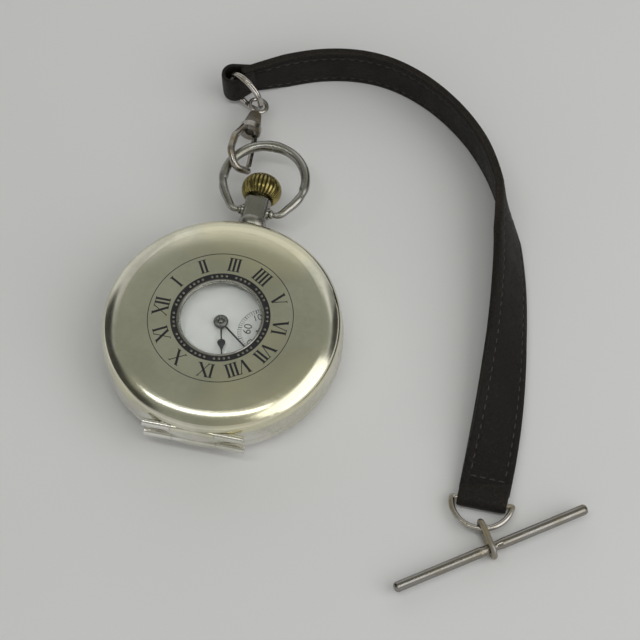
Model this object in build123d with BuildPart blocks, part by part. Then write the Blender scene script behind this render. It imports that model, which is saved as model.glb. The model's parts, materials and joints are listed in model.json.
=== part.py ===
from build123d import *
import os
from math import asin, atan2, cos, degrees, radians, sin, sqrt, tan

# Half hunter pocket watch with its leather fob.
# Millimetres. The origin is the middle of the back, where the watch rests.
# +Z points out of the dial, +Y to the pendant and three o'clock,
# +X to six o'clock, and the case hinges stand at -Y, nine o'clock.

os.makedirs("parts", exist_ok=True)

# Case, whose rings step in from the outside of the band
case_radius = 25.0
band_bottom = 4.6
band_height = 4.2
band_bulge = 0.25
band_width = 4.4
shell_wall = 0.55
step_setback = 1.4
step_rise = 0.3
neck_setback = 2.4
neck_rise = 0.4
tail_setback = 1.7
tail_drop = 0.7
channel_setback = 0.85
channel_inset = 1.05
spring_strip = 0.6
ledge_width = 0.55
ledge_inset = 0.4
fit = 0.05
running_gap = 0.1
overrun = 1.0

band_top = band_bottom + band_height
band_bore = case_radius - band_width
step_radius = case_radius - step_setback
step_top = band_top + step_rise
neck_radius = case_radius - neck_setback
neck_top = step_top + neck_rise
tail_radius = case_radius - tail_setback
tail_bottom = band_bottom - tail_drop
channel_radius = case_radius - channel_setback
channel_bottom = band_bottom + channel_inset
channel_top = band_top - channel_inset
ledge_bore = band_bore - ledge_width
ledge_bottom = band_bottom + ledge_inset

# Half hunter lid
lid_setback = 0.25
lid_rim_height = 0.5
lid_shoulder = 2.2
lid_shoulder_turn = 55
lid_haunch = 7.0
lid_haunch_turn = 80
lid_crown_height = 4.0
window_radius = 8.9
window_lip = 0.4
glass_thickness = 0.5
glass_rise = 0.45
glass_bevel = 0.12

lid_radius = case_radius - lid_setback

# Back cover and inner dust cover
back_shoulder_setback = 1.8
back_slope_width = 8.7
back_shoulder_height = 1.35
dust_seat = 1.2
dust_wall = 0.35
dust_gap = 0.4
dust_shoulder_setback = 1.2
dust_slope_width = 4.1
dust_shoulder_height = 0.75

back_shoulder_radius = case_radius - back_shoulder_setback
back_flat_radius = back_shoulder_radius - back_slope_width
dust_radius = band_bore + dust_seat
dust_floor = shell_wall + dust_gap
dust_shoulder_radius = dust_radius - dust_shoulder_setback
dust_flat_radius = dust_shoulder_radius - dust_slope_width

# Case hinges
hinge_setback = 0.7
hinge_radius = 0.85
hinge_half = 10.4
hinge_middle_half = 4.5
hinge_pin_radius = 0.32
dust_hinge_offset = 0.5
dust_hinge_drop = 0.55
dust_hinge_radius = 0.42
dust_hinge_half = 4.0
dust_middle_half = 1.5
dust_pin_radius = 0.16

hinge_reach = case_radius - hinge_setback
dust_hinge_reach = dust_radius + dust_hinge_offset
dust_hinge_height = tail_bottom - dust_hinge_drop

# Dial glass and its snap bezel
bezel_wall = 0.8
bezel_rise = 0.45
bezel_collar = 0.8
bezel_lip_width = 0.5
glass_inset = 0.6
dial_glass_flange = 0.3
dial_glass_shoulder = 0.75
dial_glass_crown = 1.15

bezel_radius = neck_radius + bezel_wall
bezel_shelf = neck_top + bezel_rise
bezel_top = bezel_shelf + bezel_collar
dial_glass_radius = band_bore - glass_inset
bezel_lip = dial_glass_radius - bezel_lip_width

# Pendant, bow and crown
collar_offset = 1.1
collar_foot = 2.85
collar_bulge = 0.2
collar_half = 1.0
collar_to_neck = 1.1
pendant_neck_radius = 2.8
neck_flat = 2.15
neck_length = 5.0
spigot_wall = 0.45
spigot_depth = 2.1
pendant_bore = 1.6
chimney_wall = 0.4
chimney_length = 0.5
ear_offset = 2.3
ear_radius = 1.3
ear_knob = 0.95
ear_reach = 3.9
bow_pin_radius = 0.45
bow_pin_depth = 1.1
bow_offset = 8.1
bow_ring_radius = 8.85
bow_wire_top = 1.15
bow_wire_end = 0.8
bow_wire_tip = 0.6
bow_turn_angle = -34
bow_bend = 1.6
sleeve_bore = 0.85
sleeve_inset = 2.3
sleeve_shortfall = 0.4
stem_radius = 0.55
stem_inner_end = 13.0
stem_square = 0.78
stem_square_start = 13.4
stem_pilot_radius = 0.3
stem_groove_middle = 18.9
stem_groove_half = 0.3
stem_groove_radius = 0.35
crown_half_length = 2.3
crown_ring = 1.1
crown_round = 3.2
crown_recess_gap = 0.25
crown_recess_depth = 1.1
crown_travel = 0.8
crown_flutes = 30
crown_flute_radius = 0.23
crown_cap = 0.9

stem_height = (band_bottom + band_top) / 2
collar_middle = case_radius + collar_offset
collar_radius = collar_foot + collar_bulge
neck_start = collar_middle + collar_to_neck
neck_end = neck_start + neck_length
spigot_radius = pendant_bore + spigot_wall
spigot_start = case_radius - spigot_depth
chimney_radius = pendant_bore + chimney_wall
chimney_end = neck_end + chimney_length
ear_place = neck_start + ear_offset
bow_middle = ear_place + bow_offset
sleeve_start = spigot_start + sleeve_inset
sleeve_end = neck_end - sleeve_shortfall
crown_start = chimney_end + running_gap
crown_middle = crown_start + crown_half_length
crown_recess = chimney_radius + crown_recess_gap

# Dial and hands
dial_inset = 0.4
dial_thickness = 0.7
dial_hole = 1.15
dial_foot_radius = 0.4
dial_foot_inset = 1.6
dial_foot_angles = (58, 172, 290)
seconds_place = 8.8
seconds_hole = 0.35
hand_thickness = 0.14
seconds_hand_gap = 0.22
seconds_hand_length = 4.3
hour_hand_gap = 0.3
hour_hand_length = 10.6
minute_hand_gap = 0.22
minute_hand_length = 16.6
hand_hub_radius = 1.5
hand_hub_rise = 0.32
hour_boss_radius = 1.35
hour_pipe_radius = 0.95
cannon_pipe_radius = 0.58
hand_bar_half = 0.2
spade_radius = 0.82
hour_hand_angle = 255.5
minute_hand_angle = 217.5
seconds_hand_angle = 168.0

dial_radius = band_bore - dial_inset
dial_back = band_top
dial_foot_ring = dial_radius - dial_foot_inset
seconds_hand_height = dial_back + dial_thickness + seconds_hand_gap
hour_hand_height = seconds_hand_height + hand_thickness + hour_hand_gap
minute_hand_height = hour_hand_height + hand_thickness + minute_hand_gap
hand_hub_top = minute_hand_height + hand_thickness + hand_hub_rise

# Movement
plate_inset = 0.2
plate_thickness = 1.6
works_depth = 0.8
works_wall = 2.8
flange_reach = 0.4
flange_thickness = 0.4
bridge_thickness = 1.25
bridge_height = 2.4
bridge_inset = 0.25
bridge_seat = 2.9
pocket_depth = 0.3
pivot_radius = 0.12
screw_head_radius = 0.75
screw_head_height = 0.35
screw_shank_radius = 0.35
screw_slot = 0.18
bridge_screw_inset = 1.4
barrel_screw_angles = (112, 178)
train_screw_angles = (8, 46)
case_screw_inset = 0.5
case_screw_angles = (-75, 235)
screw_length = 2.6
screw_bite = 1.0
wheel_thickness = 0.2
pinion_length = 0.5
arbor_radius = 0.22
centre_arbor_radius = 0.3
centre_wheel_bottom = 4.05
centre_pinion_bottom = 5.8
third_wheel_bottom = 5.2
fourth_wheel_bottom = 4.7
fourth_pinion_bottom = 5.05
escape_pinion_bottom = 4.5
escape_wheel_bottom = 5.75
escape_arbor = 0.13
seconds_arbor = 0.2
motion_post = 0.3
motion_step = 0.22
jewel_radius = 0.6
jewel_thickness = 0.4

plate_radius = band_bore - plate_inset
plate_floor = dial_back - works_depth
plate_bottom = plate_floor - plate_thickness
works_radius = plate_radius - works_wall
flange_radius = band_bore + flange_reach
flange_bottom = dial_back - flange_thickness
bridge_top = plate_bottom - bridge_height
bridge_bottom = bridge_top - bridge_thickness
bridge_radius = ledge_bore - bridge_inset
bridge_foot_radius = bridge_radius - bridge_seat
bridge_screw_ring = bridge_radius - bridge_screw_inset
pocket_floor = bridge_top - pocket_depth
case_screw_ring = ledge_bore - case_screw_inset

# Gearing, all teeth share one form
tooth_tip_reach = 0.85
tooth_root_reach = 1.25
tooth_root_share = 0.52
tooth_pitch_share = 0.36
tooth_tip_share = 0.14
barrel_teeth = 76
centre_leaves = 12
barrel_module = 0.2
barrel_bearing = 131
centre_teeth = 80
third_leaves = 10
centre_module = 0.15
third_teeth = 75
fourth_leaves = 10
third_module = 0.14
fourth_teeth = 70
escape_leaves = 7
fourth_module = 0.12
escape_bearing = -35
escape_teeth = 15
escape_radius = 3.6
cannon_leaves = 12
minute_teeth = 36
motion_module = 0.16
minute_leaves = 10
hour_teeth = 40
setting_teeth = 40
ratchet_teeth = 47
crown_wheel_teeth = 24
winding_module = 0.3

# Barrel
drum_radius = 7.3
drum_wall = 0.25
drum_bottom = 4.45
drum_top = 6.25
barrel_tooth_bottom = 5.9
barrel_arbor_radius = 1.1
barrel_pivot_radius = 0.8
barrel_roof = 0.6
mainspring_turns = 7
mainspring_thickness = 0.14
mainspring_margin = 0.25

# Winding works
crown_wheel_bottom = 3.1
crown_wheel_thickness = 0.5
crown_hub_radius = 1.7
crown_hub_top = 4.92
crown_hub_wall = 0.5
winding_pinion_radius = 1.7
winding_pinion_length = 1.6
winding_pinion_teeth = 14
clutch_radius = 1.25
clutch_start = 13.5
clutch_length = 2.4
clutch_groove = 0.3
clutch_groove_place = 1.0
clutch_groove_width = 0.5
works_gap = 0.25
stem_room = 3.0
click_from_barrel = 8.7
click_pivot_bearing = 218
click_tip_bearing = 201
click_boss = 0.6
click_nose = 0.15
click_post = 0.3
click_pocket = 1.0
click_thickness = 0.4
click_strip = 0.09
setting_pivot_x = 3.3
lever_boss = 0.45
lever_pin_radius = 0.2
yoke_pivot = (-4.6, 12.6)

# Escapement
balance_place = (8.2, -10.9)
balance_radius = 5.7
balance_screw_length = 0.3
balance_rim = 0.5
balance_bottom = 3.95
balance_top = 4.5
balance_screw_radius = 0.28
balance_screws = 14
staff_radius = 0.25
roller_radius = 1.3
roller_bottom = 5.1
roller_thickness = 0.25
impulse_pin_ring = 1.1
impulse_pin_radius = 0.12
lever_from_escape = 4.2
lever_reach = 3.6
lever_bottom = 5.7
lever_thickness = 0.22
stone_ring = 4.15
stone_spread = 31
stone_half = 0.28
lever_half = 0.18
balance_arm_half = 0.3
hairspring_stud = 0.2
stud_bearing = 0
hairspring_turns = 8
hairspring_thickness = 0.08
hairspring_inner = 0.55
hairspring_outer = 2.7
hairspring_bottom = 3.3
hairspring_height = 0.25
cock_bottom = 1.95
cock_top = 2.75
cock_foot = (-0.6, -17.2)
cock_foot_radius = 2.5
regulator_bottom = 1.72
regulator_thickness = 0.2
regulator_reach = 3.9
regulator_tip = 0.2
cock_head_radius = 1.2
pallet_cock_bottom = 4.85
pallet_cock_top = 5.45
pallet_cock_foot = (15.3, -9.0)
pallet_cock_radius = 0.42
pallet_foot_radius = 1.3

# Swivel clip
clip_offset = (-6.27, -2.84, -0.05)
eye_offset = (-0.03, 14.34, -2.65)
clip_twist = 48
clip_collar = 2.4
clip_cone = 1.95
clip_neck = 1.15
clip_collar_start = 6.3
clip_collar_end = 7.7
clip_neck_end = 12.0
clip_knurls = 7
clip_knurl = 0.16
clip_shank = 0.5
clip_head = 0.9
clip_head_end = 9.0
clip_head_height = 0.6
hook_points = ((1.5, 7.0), (3.3, 2.5), (3.3, -1.6), (0.55, -5.0), (-2.7, -3.2))
hook_radius = 0.8
hook_bend = 1.9
gate_pivot = (-1.75, 7.0)
gate_end = (-2.6, -1.75)
gate_radius = 0.4
gate_head = 0.55
gate_pin = 0.2
gate_pin_half = 1.4
eye_lean_shares = (0.22, -0.14, 0.97)
eye_ring = 1.9
eye_wire = 0.45

# Split ring
split_offset = (-3.25, 2.15, 1.35)
split_bearing = -33
split_radius = 4.7
split_wire = 0.45
split_coil_offset = 0.22

# Strap; its route is (x, y, lean) with the lean at 90 on edge and at 0 flat
strap_width = 10.3
strap_thickness = 2.2
strap_arc_share = 0.45
strap_steps = 60
strap_route = (
    (-11.0, 63.0, 90),
    (-2.0, 67.9, 90),
    (8.0, 71.6, 90),
    (18.5, 72.2, 90),
    (28.5, 68.9, 90),
    (37.6, 62.8, 90),
    (44.8, 55.2, 90),
    (50.0, 46.0, 86),
    (53.4, 35.5, 62),
    (55.8, 24.5, 52),
    (57.5, 12.0, 43),
    (58.7, -1.5, 28),
    (59.2, -14.5, 12),
    (59.1, -24.4, 0),
)
loop_set = 1.98
loop_lift = 0.2
loop_radius = 2.6
loop_bore = 1.65
loop_height = 7.4
fold_radius = 1.7

# D-ring, link and T-bar
ring_wire = 0.6
d_ring_radius = 6.1
d_ring_lift = 5.6
link_place = (61.6, -32.4)
link_bearing = -57.3
link_height = 2.4
link_half = 3.85
link_bend = 1.8
link_wire = 0.6
bar_place = (62.7, -34.1)
bar_bearing = 35.8
bar_half = 21.0
bar_radius = 1.1
bar_waist = 0.95
bar_waist_half = 1.2


# Curves and shapes that many pieces share

def turned(outline, x=0, y=0, mode=Mode.ADD):
    """Turn an outline of (radius, height) points about the upright line at (x, y)."""
    section = Plane(origin=(x, y, 0), x_dir=(1, 0, 0), z_dir=(0, -1, 0))
    with BuildSketch(section) as profile:
        with BuildLine():
            Polyline(*outline, close=True)
        make_face()
    revolve(profile.sketch, axis=Axis((x, y, 0), (0, 0, 1)), mode=mode)


def turned_on_stem(outline, mode=Mode.ADD):
    """Turn an outline of (radius, distance) points about the stem's axis, along +Y."""
    section = Plane(origin=(0, 0, stem_height), x_dir=(1, 0, 0), z_dir=(0, 0, 1))
    with BuildSketch(section) as profile:
        with BuildLine():
            Polyline(*outline, close=True)
        make_face()
    revolve(profile.sketch, axis=Axis((0, 0, stem_height), (0, 1, 0)), mode=mode)


def disc(radius, bottom, top, x=0, y=0, mode=Mode.ADD):
    """A round plate or post between two heights."""
    with BuildSketch(Plane.XY.offset(bottom)) as profile:
        with Locations((x, y)):
            Circle(radius)
    extrude(profile.sketch, amount=top - bottom, mode=mode)


def ring(outer, inner, bottom, top, x=0, y=0, mode=Mode.ADD):
    """A round plate with a round hole between two heights."""
    with BuildSketch(Plane.XY.offset(bottom)) as profile:
        with Locations((x, y)):
            Circle(outer)
            Circle(inner, mode=Mode.SUBTRACT)
    extrude(profile.sketch, amount=top - bottom, mode=mode)


def cross_rod(radius, start, end, y, z, mode=Mode.ADD):
    """A round rod along X between two places."""
    with BuildSketch(Plane(origin=(start, y, z), x_dir=(0, 1, 0), z_dir=(1, 0, 0))) as profile:
        Circle(radius)
    extrude(profile.sketch, amount=end - start, mode=mode)


def stem_rod(radius, start, end, mode=Mode.ADD):
    """A round rod along the stem's axis between two distances from the centre."""
    section = Plane(origin=(0, start, stem_height), x_dir=(1, 0, 0), z_dir=(0, 1, 0))
    with BuildSketch(section) as profile:
        Circle(radius)
    extrude(profile.sketch, amount=end - start, mode=mode)


def polar(radius, angle, x=0, y=0):
    """The point at a radius and an angle in degrees from (x, y)."""
    return (x + radius * cos(radians(angle)), y + radius * sin(radians(angle)))


def tooth_outline(teeth, module, phase):
    """Points of a toothed edge, the middle of one tooth at the phase angle."""
    middle = teeth * module / 2
    tip = middle + tooth_tip_reach * module
    root = middle - tooth_root_reach * module
    half_pitch = 180 / teeth
    flank = (
        (root, -tooth_root_share),
        (middle, -tooth_pitch_share),
        (tip, -tooth_tip_share),
        (tip, tooth_tip_share),
        (middle, tooth_pitch_share),
        (root, tooth_root_share),
    )
    return [
        polar(radius, phase + 2 * half_pitch * tooth + share * half_pitch)
        for tooth in range(teeth)
        for radius, share in flank
    ]


def wheel(teeth, module, phase, face, thickness, bore, spokes=0):
    """A toothed wheel or pinion on a plane, with a many-sided bore and, in a wheel, windows."""
    root = teeth * module / 2 - tooth_root_reach * module
    window_outer = root * 0.84
    window_inner = max(bore * 2, root * 0.3)
    with BuildSketch(face) as profile:
        with BuildLine():
            Polyline(*tooth_outline(teeth, module, phase), close=True)
        make_face()
        RegularPolygon(bore, 12, major_radius=False, mode=Mode.SUBTRACT)
        for spoke in range(spokes):
            middle = phase + 360 * spoke / spokes
            spread = 180 / spokes
            corners = (
                polar(window_inner, middle - spread * 0.45),
                polar(window_outer, middle - spread * 0.84),
                polar(window_outer, middle - spread * 0.3),
                polar(window_outer, middle + spread * 0.3),
                polar(window_outer, middle + spread * 0.84),
                polar(window_inner, middle + spread * 0.45),
            )
            Polygon(*corners, align=None, mode=Mode.SUBTRACT)
    extrude(profile.sketch, amount=thickness)


def flat(x, y, height):
    """A level plane over a point of the movement."""
    return Plane(origin=(x, y, height), x_dir=(1, 0, 0), z_dir=(0, 0, 1))


def arbor(x, y, radius, bottom, top, lower_pivot, upper_pivot):
    """An arbor with a thinner pivot at each end."""
    turned((
        (0, lower_pivot),
        (pivot_radius, lower_pivot),
        (pivot_radius, bottom),
        (radius, bottom),
        (radius, top),
        (pivot_radius, top),
        (pivot_radius, upper_pivot),
        (0, upper_pivot),
    ), x, y)


def mesh_phase(phase, teeth, other_teeth, bearing):
    """Phase of a second wheel, whose gap meets the first wheel's tooth along the bearing."""
    return bearing + 180 - (phase - bearing) * teeth / other_teeth + 180 / other_teeth


def strip_spiral(inner, outer, turns, thickness, bottom, height, x, y):
    """A flat spiral spring as one closed strip, its radius growing evenly with the turn."""
    steps_per_turn = 24
    steps = int(turns * steps_per_turn)
    growth = (outer - inner) / steps
    inside = [
        polar(inner + growth * step, 360 * step / steps_per_turn, x, y)
        for step in range(steps + 1)
    ]
    outside = [
        polar(inner + growth * step + thickness, 360 * step / steps_per_turn, x, y)
        for step in range(steps + 1)
    ]
    with BuildSketch(Plane.XY.offset(bottom)) as profile:
        with BuildLine():
            Polyline(*inside, *reversed(outside), close=True)
        make_face()
    extrude(profile.sketch, amount=height)


def save(piece, name):
    """Label a finished piece and write its file."""
    piece.part.label = name
    export_step(piece.part, "parts/" + name + ".step")


# Places of the movement's arbors

def pitch_distance(teeth, leaves, module):
    """Distance between two arbors whose wheels mesh."""
    return (teeth + leaves) * module / 2


barrel_x, barrel_y = polar(
    pitch_distance(barrel_teeth, centre_leaves, barrel_module), barrel_bearing
)
centre_to_third = pitch_distance(centre_teeth, third_leaves, centre_module)
third_to_fourth = pitch_distance(third_teeth, fourth_leaves, third_module)
third_x = (centre_to_third**2 - third_to_fourth**2 + seconds_place**2) / (2 * seconds_place)
third_y = -sqrt(centre_to_third**2 - third_x**2)
escape_x, escape_y = polar(
    pitch_distance(fourth_teeth, escape_leaves, fourth_module), escape_bearing, seconds_place
)
balance_x, balance_y = balance_place
lever_bearing = degrees(atan2(balance_y - escape_y, balance_x - escape_x))
lever_x, lever_y = polar(lever_from_escape, lever_bearing, escape_x, escape_y)
minute_y = pitch_distance(minute_teeth, cannon_leaves, motion_module)
hour_module = 2 * minute_y / (hour_teeth + minute_leaves)
setting_y = minute_y + pitch_distance(setting_teeth, minute_teeth, motion_module)
crown_wheel_y = barrel_y + sqrt(
    pitch_distance(ratchet_teeth, crown_wheel_teeth, winding_module) ** 2 - barrel_x**2
)
winding_pinion_start = crown_wheel_y + crown_hub_radius - (crown_hub_wall + winding_pinion_length) / 2


# Case middle, the band that carries every other case piece

def band_envelope():
    """The band's outer form without its bore, also used to seat the pendant on it."""
    with BuildSketch(Plane.XZ) as profile:
        with BuildLine():
            Polyline(
                (case_radius - band_bulge, band_bottom),
                (0, band_bottom),
                (0, band_top),
                (case_radius - band_bulge, band_top),
            )
            ThreePointArc(
                (case_radius - band_bulge, band_top),
                (case_radius, (band_bottom + band_top) / 2),
                (case_radius - band_bulge, band_bottom),
            )
        make_face()
    revolve(profile.sketch, axis=Axis.Z)


flange_bore = flange_radius + 4 * fit

with BuildPart() as case_band:
    band_envelope()
    disc(step_radius, band_top, step_top)
    disc(neck_radius, step_top, neck_top)
    disc(tail_radius, tail_bottom, band_bottom)
    disc(band_bore, tail_bottom, neck_top, mode=Mode.SUBTRACT)
    disc(flange_bore, flange_bottom, neck_top, mode=Mode.SUBTRACT)
    disc(channel_radius, channel_bottom, channel_top, mode=Mode.SUBTRACT)
    ring(band_bore + fit, ledge_bore, ledge_bottom, channel_bottom)
    for hinge_z in (band_top, band_bottom):
        cross_rod(
            hinge_radius + running_gap,
            -hinge_middle_half - running_gap,
            hinge_middle_half + running_gap,
            -hinge_reach,
            hinge_z,
            mode=Mode.SUBTRACT,
        )
        for side in (-1, 1):
            cross_rod(
                hinge_radius,
                side * (hinge_middle_half + running_gap),
                side * hinge_half,
                -hinge_reach,
                hinge_z,
            )
        cross_rod(hinge_pin_radius + fit, -hinge_half, hinge_half, -hinge_reach, hinge_z,
                  mode=Mode.SUBTRACT)
    for side in (-1, 1):
        start = side * (dust_middle_half + running_gap)
        end = side * dust_hinge_half
        cross_rod(dust_hinge_radius, start, end, -dust_hinge_reach, dust_hinge_height)
        with BuildSketch(Plane.XY.offset(dust_hinge_height)):
            with Locations(((start + end) / 2, -dust_hinge_reach)):
                Rectangle(abs(end - start), 2 * dust_hinge_radius)
        extrude(amount=tail_bottom - dust_hinge_height + fit)
    cross_rod(dust_pin_radius + fit, -dust_hinge_half, dust_hinge_half, -dust_hinge_reach,
              dust_hinge_height, mode=Mode.SUBTRACT)
    stem_rod(spigot_radius, band_bore - overrun, case_radius + overrun, mode=Mode.SUBTRACT)
save(case_band, "case_band")


# Hinge pins

def save_pin(radius, half, reach, height, name):
    """A plain pin along a hinge's whole tube."""
    with BuildPart() as pin:
        cross_rod(radius, -half, half, -reach, height)
    save(pin, name)


save_pin(hinge_pin_radius, hinge_half, hinge_reach, band_top, "lid_hinge_pin")
save_pin(hinge_pin_radius, hinge_half, hinge_reach, band_bottom, "back_hinge_pin")
save_pin(dust_pin_radius, dust_hinge_half, dust_hinge_reach, dust_hinge_height,
         "cuvette_hinge_pin")


# Half hunter lid: a drawn shell with a round window

def lid_form(rim_radius, shoulder, haunch, base, crown, hole):
    """The lid's solid of revolution: rim, round shoulder, flatter haunch and shallow dome."""
    rim = base + lid_rim_height
    turn = radians(lid_shoulder_turn)
    haunch_turn = radians(lid_haunch_turn)
    shoulder_end = (
        rim_radius - shoulder + shoulder * cos(turn),
        rim + shoulder * sin(turn),
    )
    haunch_end = (
        shoulder_end[0] - haunch * (cos(turn) - cos(haunch_turn)),
        shoulder_end[1] + haunch * (sin(haunch_turn) - sin(turn)),
    )
    with BuildSketch(Plane.XZ) as profile:
        with BuildLine():
            Line((hole, base), (rim_radius, base))
            Line((rim_radius, base), (rim_radius, rim))
            TangentArc((rim_radius, rim), shoulder_end, tangent=(0, 1))
            TangentArc(shoulder_end, haunch_end, tangent=(-sin(turn), cos(turn)))
            TangentArc(haunch_end, (hole, crown), tangent=(-sin(haunch_turn), cos(haunch_turn)))
            Line((hole, crown), (hole, base))
        make_face()
    revolve(profile.sketch, axis=Axis.Z)


lid_crown = band_top + lid_crown_height
with BuildPart() as lid_cavity:
    lid_form(
        lid_radius - shell_wall,
        lid_shoulder - shell_wall,
        lid_haunch - shell_wall,
        band_top,
        lid_crown - shell_wall,
        window_radius + 2 * shell_wall,
    )
    disc(window_radius + 3 * shell_wall, band_top - overrun, lid_crown - 2 * shell_wall)
    disc(lid_radius - shell_wall, band_top - overrun, band_top)

with BuildPart() as lid_shell:
    lid_form(lid_radius, lid_shoulder, lid_haunch, band_top, lid_crown, window_radius)
    add(lid_cavity.part, mode=Mode.SUBTRACT)
    ring(window_radius + fit, window_radius - window_lip,
         lid_crown - 2 * shell_wall, lid_crown - 2 * shell_wall + window_lip)
    for side in (-1, 1):
        cross_rod(
            hinge_radius + running_gap,
            side * hinge_middle_half,
            side * (hinge_half + overrun),
            -hinge_reach,
            band_top,
            mode=Mode.SUBTRACT,
        )
    cross_rod(hinge_radius, -hinge_middle_half, hinge_middle_half, -hinge_reach, band_top)
    cross_rod(hinge_pin_radius + fit, -hinge_middle_half, hinge_middle_half, -hinge_reach,
              band_top, mode=Mode.SUBTRACT)
save(lid_shell, "lid_shell")

lid_glass_bottom = lid_crown - 2 * shell_wall + window_lip
lid_glass_radius = window_radius - fit


def glass(radius, bottom, rim_height, rise, shoulder, shoulder_rise):
    """A domed glass of even thickness with an upright rim."""
    inner = radius - glass_thickness
    top = bottom + rim_height + shoulder_rise
    with BuildSketch(Plane.XZ) as profile:
        with BuildLine():
            Line((0, top + rise - glass_thickness), (0, top + rise))
            TangentArc((0, top + rise), (radius - shoulder, top), tangent=(1, 0))
            Line((radius - shoulder, top), (radius, bottom + rim_height))
            Line((radius, bottom + rim_height), (radius, bottom))
            Line((radius, bottom), (inner, bottom))
            Line((inner, bottom), (inner - shoulder, bottom + shoulder_rise))
            TangentArc(
                (0, top + rise - glass_thickness),
                (inner - shoulder, bottom + shoulder_rise),
                tangent=(1, 0),
            )
        make_face()
    revolve(profile.sketch, axis=Axis.Z)


with BuildPart() as lid_glass:
    glass(lid_glass_radius, lid_glass_bottom, glass_thickness, glass_rise, glass_bevel, glass_bevel)
save(lid_glass, "lid_glass")


# Bezel that snaps over the band's neck and holds the dial's own glass

with BuildPart() as glass_bezel:
    turned((
        (neck_radius + fit, step_top),
        (bezel_radius, step_top),
        (bezel_radius, neck_top + fit),
        (dial_glass_radius + shell_wall, bezel_top),
        (dial_glass_radius + fit, bezel_top),
        (dial_glass_radius + fit, bezel_shelf),
        (bezel_lip, bezel_shelf),
        (bezel_lip, neck_top + 3 * fit),
        (neck_radius + fit, neck_top + 3 * fit),
    ))
save(glass_bezel, "glass_bezel")

with BuildPart() as dial_glass:
    glass(dial_glass_radius, bezel_shelf, dial_glass_flange, dial_glass_crown - glass_thickness,
          dial_glass_shoulder, dial_glass_shoulder)
save(dial_glass, "dial_glass")


# Back cover and dust cover: two drawn bowls

def bowl_form(rim_radius, floor, rim, flat, shoulder_radius, shoulder_height):
    """A bowl: flat floor, slow rise to the shoulder, then a tighter turn up to the rim."""
    run = shoulder_radius - flat
    rise_angle = 2 * atan2(shoulder_height, run)
    with BuildSketch(Plane.XZ) as profile:
        with BuildLine():
            Line((0, rim), (0, floor))
            Line((0, floor), (flat, floor))
            TangentArc((flat, floor), (shoulder_radius, floor + shoulder_height), tangent=(1, 0))
            TangentArc(
                (shoulder_radius, floor + shoulder_height),
                (rim_radius, rim),
                tangent=(cos(rise_angle), sin(rise_angle)),
            )
            Line((rim_radius, rim), (0, rim))
        make_face()
    revolve(profile.sketch, axis=Axis.Z)


with BuildPart() as back_cavity:
    bowl_form(case_radius - band_bulge - shell_wall, shell_wall, band_bottom, back_flat_radius,
              back_shoulder_radius - shell_wall, back_shoulder_height)

with BuildPart() as back_cover:
    bowl_form(case_radius - band_bulge, 0, band_bottom, back_flat_radius,
              back_shoulder_radius, back_shoulder_height)
    add(back_cavity.part, mode=Mode.SUBTRACT)
    for side in (-1, 1):
        cross_rod(
            hinge_radius + running_gap,
            side * hinge_middle_half,
            side * (hinge_half + overrun),
            -hinge_reach,
            band_bottom,
            mode=Mode.SUBTRACT,
        )
    cross_rod(hinge_radius, -hinge_middle_half, hinge_middle_half, -hinge_reach, band_bottom)
    cross_rod(hinge_pin_radius + fit, -hinge_middle_half, hinge_middle_half, -hinge_reach,
              band_bottom, mode=Mode.SUBTRACT)
save(back_cover, "back_cover")

dust_rim = tail_bottom - fit
with BuildPart() as dust_cavity:
    bowl_form(dust_radius - dust_wall, dust_floor + dust_wall, dust_rim, dust_flat_radius,
              dust_shoulder_radius - dust_wall, dust_shoulder_height)

with BuildPart() as cuvette:
    bowl_form(dust_radius, dust_floor, dust_rim, dust_flat_radius,
              dust_shoulder_radius, dust_shoulder_height)
    add(dust_cavity.part, mode=Mode.SUBTRACT)
    for side in (-1, 1):
        cross_rod(
            dust_hinge_radius + running_gap,
            side * dust_middle_half,
            side * (dust_hinge_half + running_gap),
            -dust_hinge_reach,
            dust_hinge_height,
            mode=Mode.SUBTRACT,
        )
    cross_rod(dust_hinge_radius, -dust_middle_half, dust_middle_half, -dust_hinge_reach,
              dust_hinge_height)
    with BuildSketch(Plane.XY.offset(dust_hinge_height - dust_hinge_radius)):
        with Locations((0, -(dust_hinge_reach + dust_radius - dust_wall) / 2)):
            Rectangle(2 * dust_middle_half, dust_hinge_reach - dust_radius + dust_wall)
    extrude(amount=dust_wall)
    cross_rod(dust_pin_radius + fit, -dust_middle_half, dust_middle_half, -dust_hinge_reach,
              dust_hinge_height, mode=Mode.SUBTRACT)
save(cuvette, "cuvette")


# Pendant: a faceted neck on a ball collar, soldered to the band, with an ear each side

def ear(side):
    """A round boss on the neck's side that ends in a small knob round the bow's pin."""
    section = Plane(origin=(0, ear_place, stem_height), x_dir=(side, 0, 0), z_dir=(0, 0, side))
    waist = ear_reach - ear_knob
    with BuildSketch(section) as profile:
        with BuildLine():
            Polyline(
                (pendant_bore, ear_knob),
                (pendant_bore, 0),
                (ear_reach, 0),
                (ear_reach, ear_knob * 0.6),
            )
            ThreePointArc(
                (ear_reach, ear_knob * 0.6),
                (waist + ear_knob * 0.5, ear_knob),
                (waist, ear_knob * 0.7),
            )
            Polyline((waist, ear_knob * 0.7), (waist, ear_radius), (pendant_bore, ear_radius),
                     (pendant_bore, ear_knob))
        make_face()
    revolve(profile.sketch, axis=Axis((0, ear_place, stem_height), (1, 0, 0)))


with BuildPart() as band_seat:
    band_envelope()
    stem_rod(spigot_radius, 0, case_radius + overrun, mode=Mode.SUBTRACT)

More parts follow.
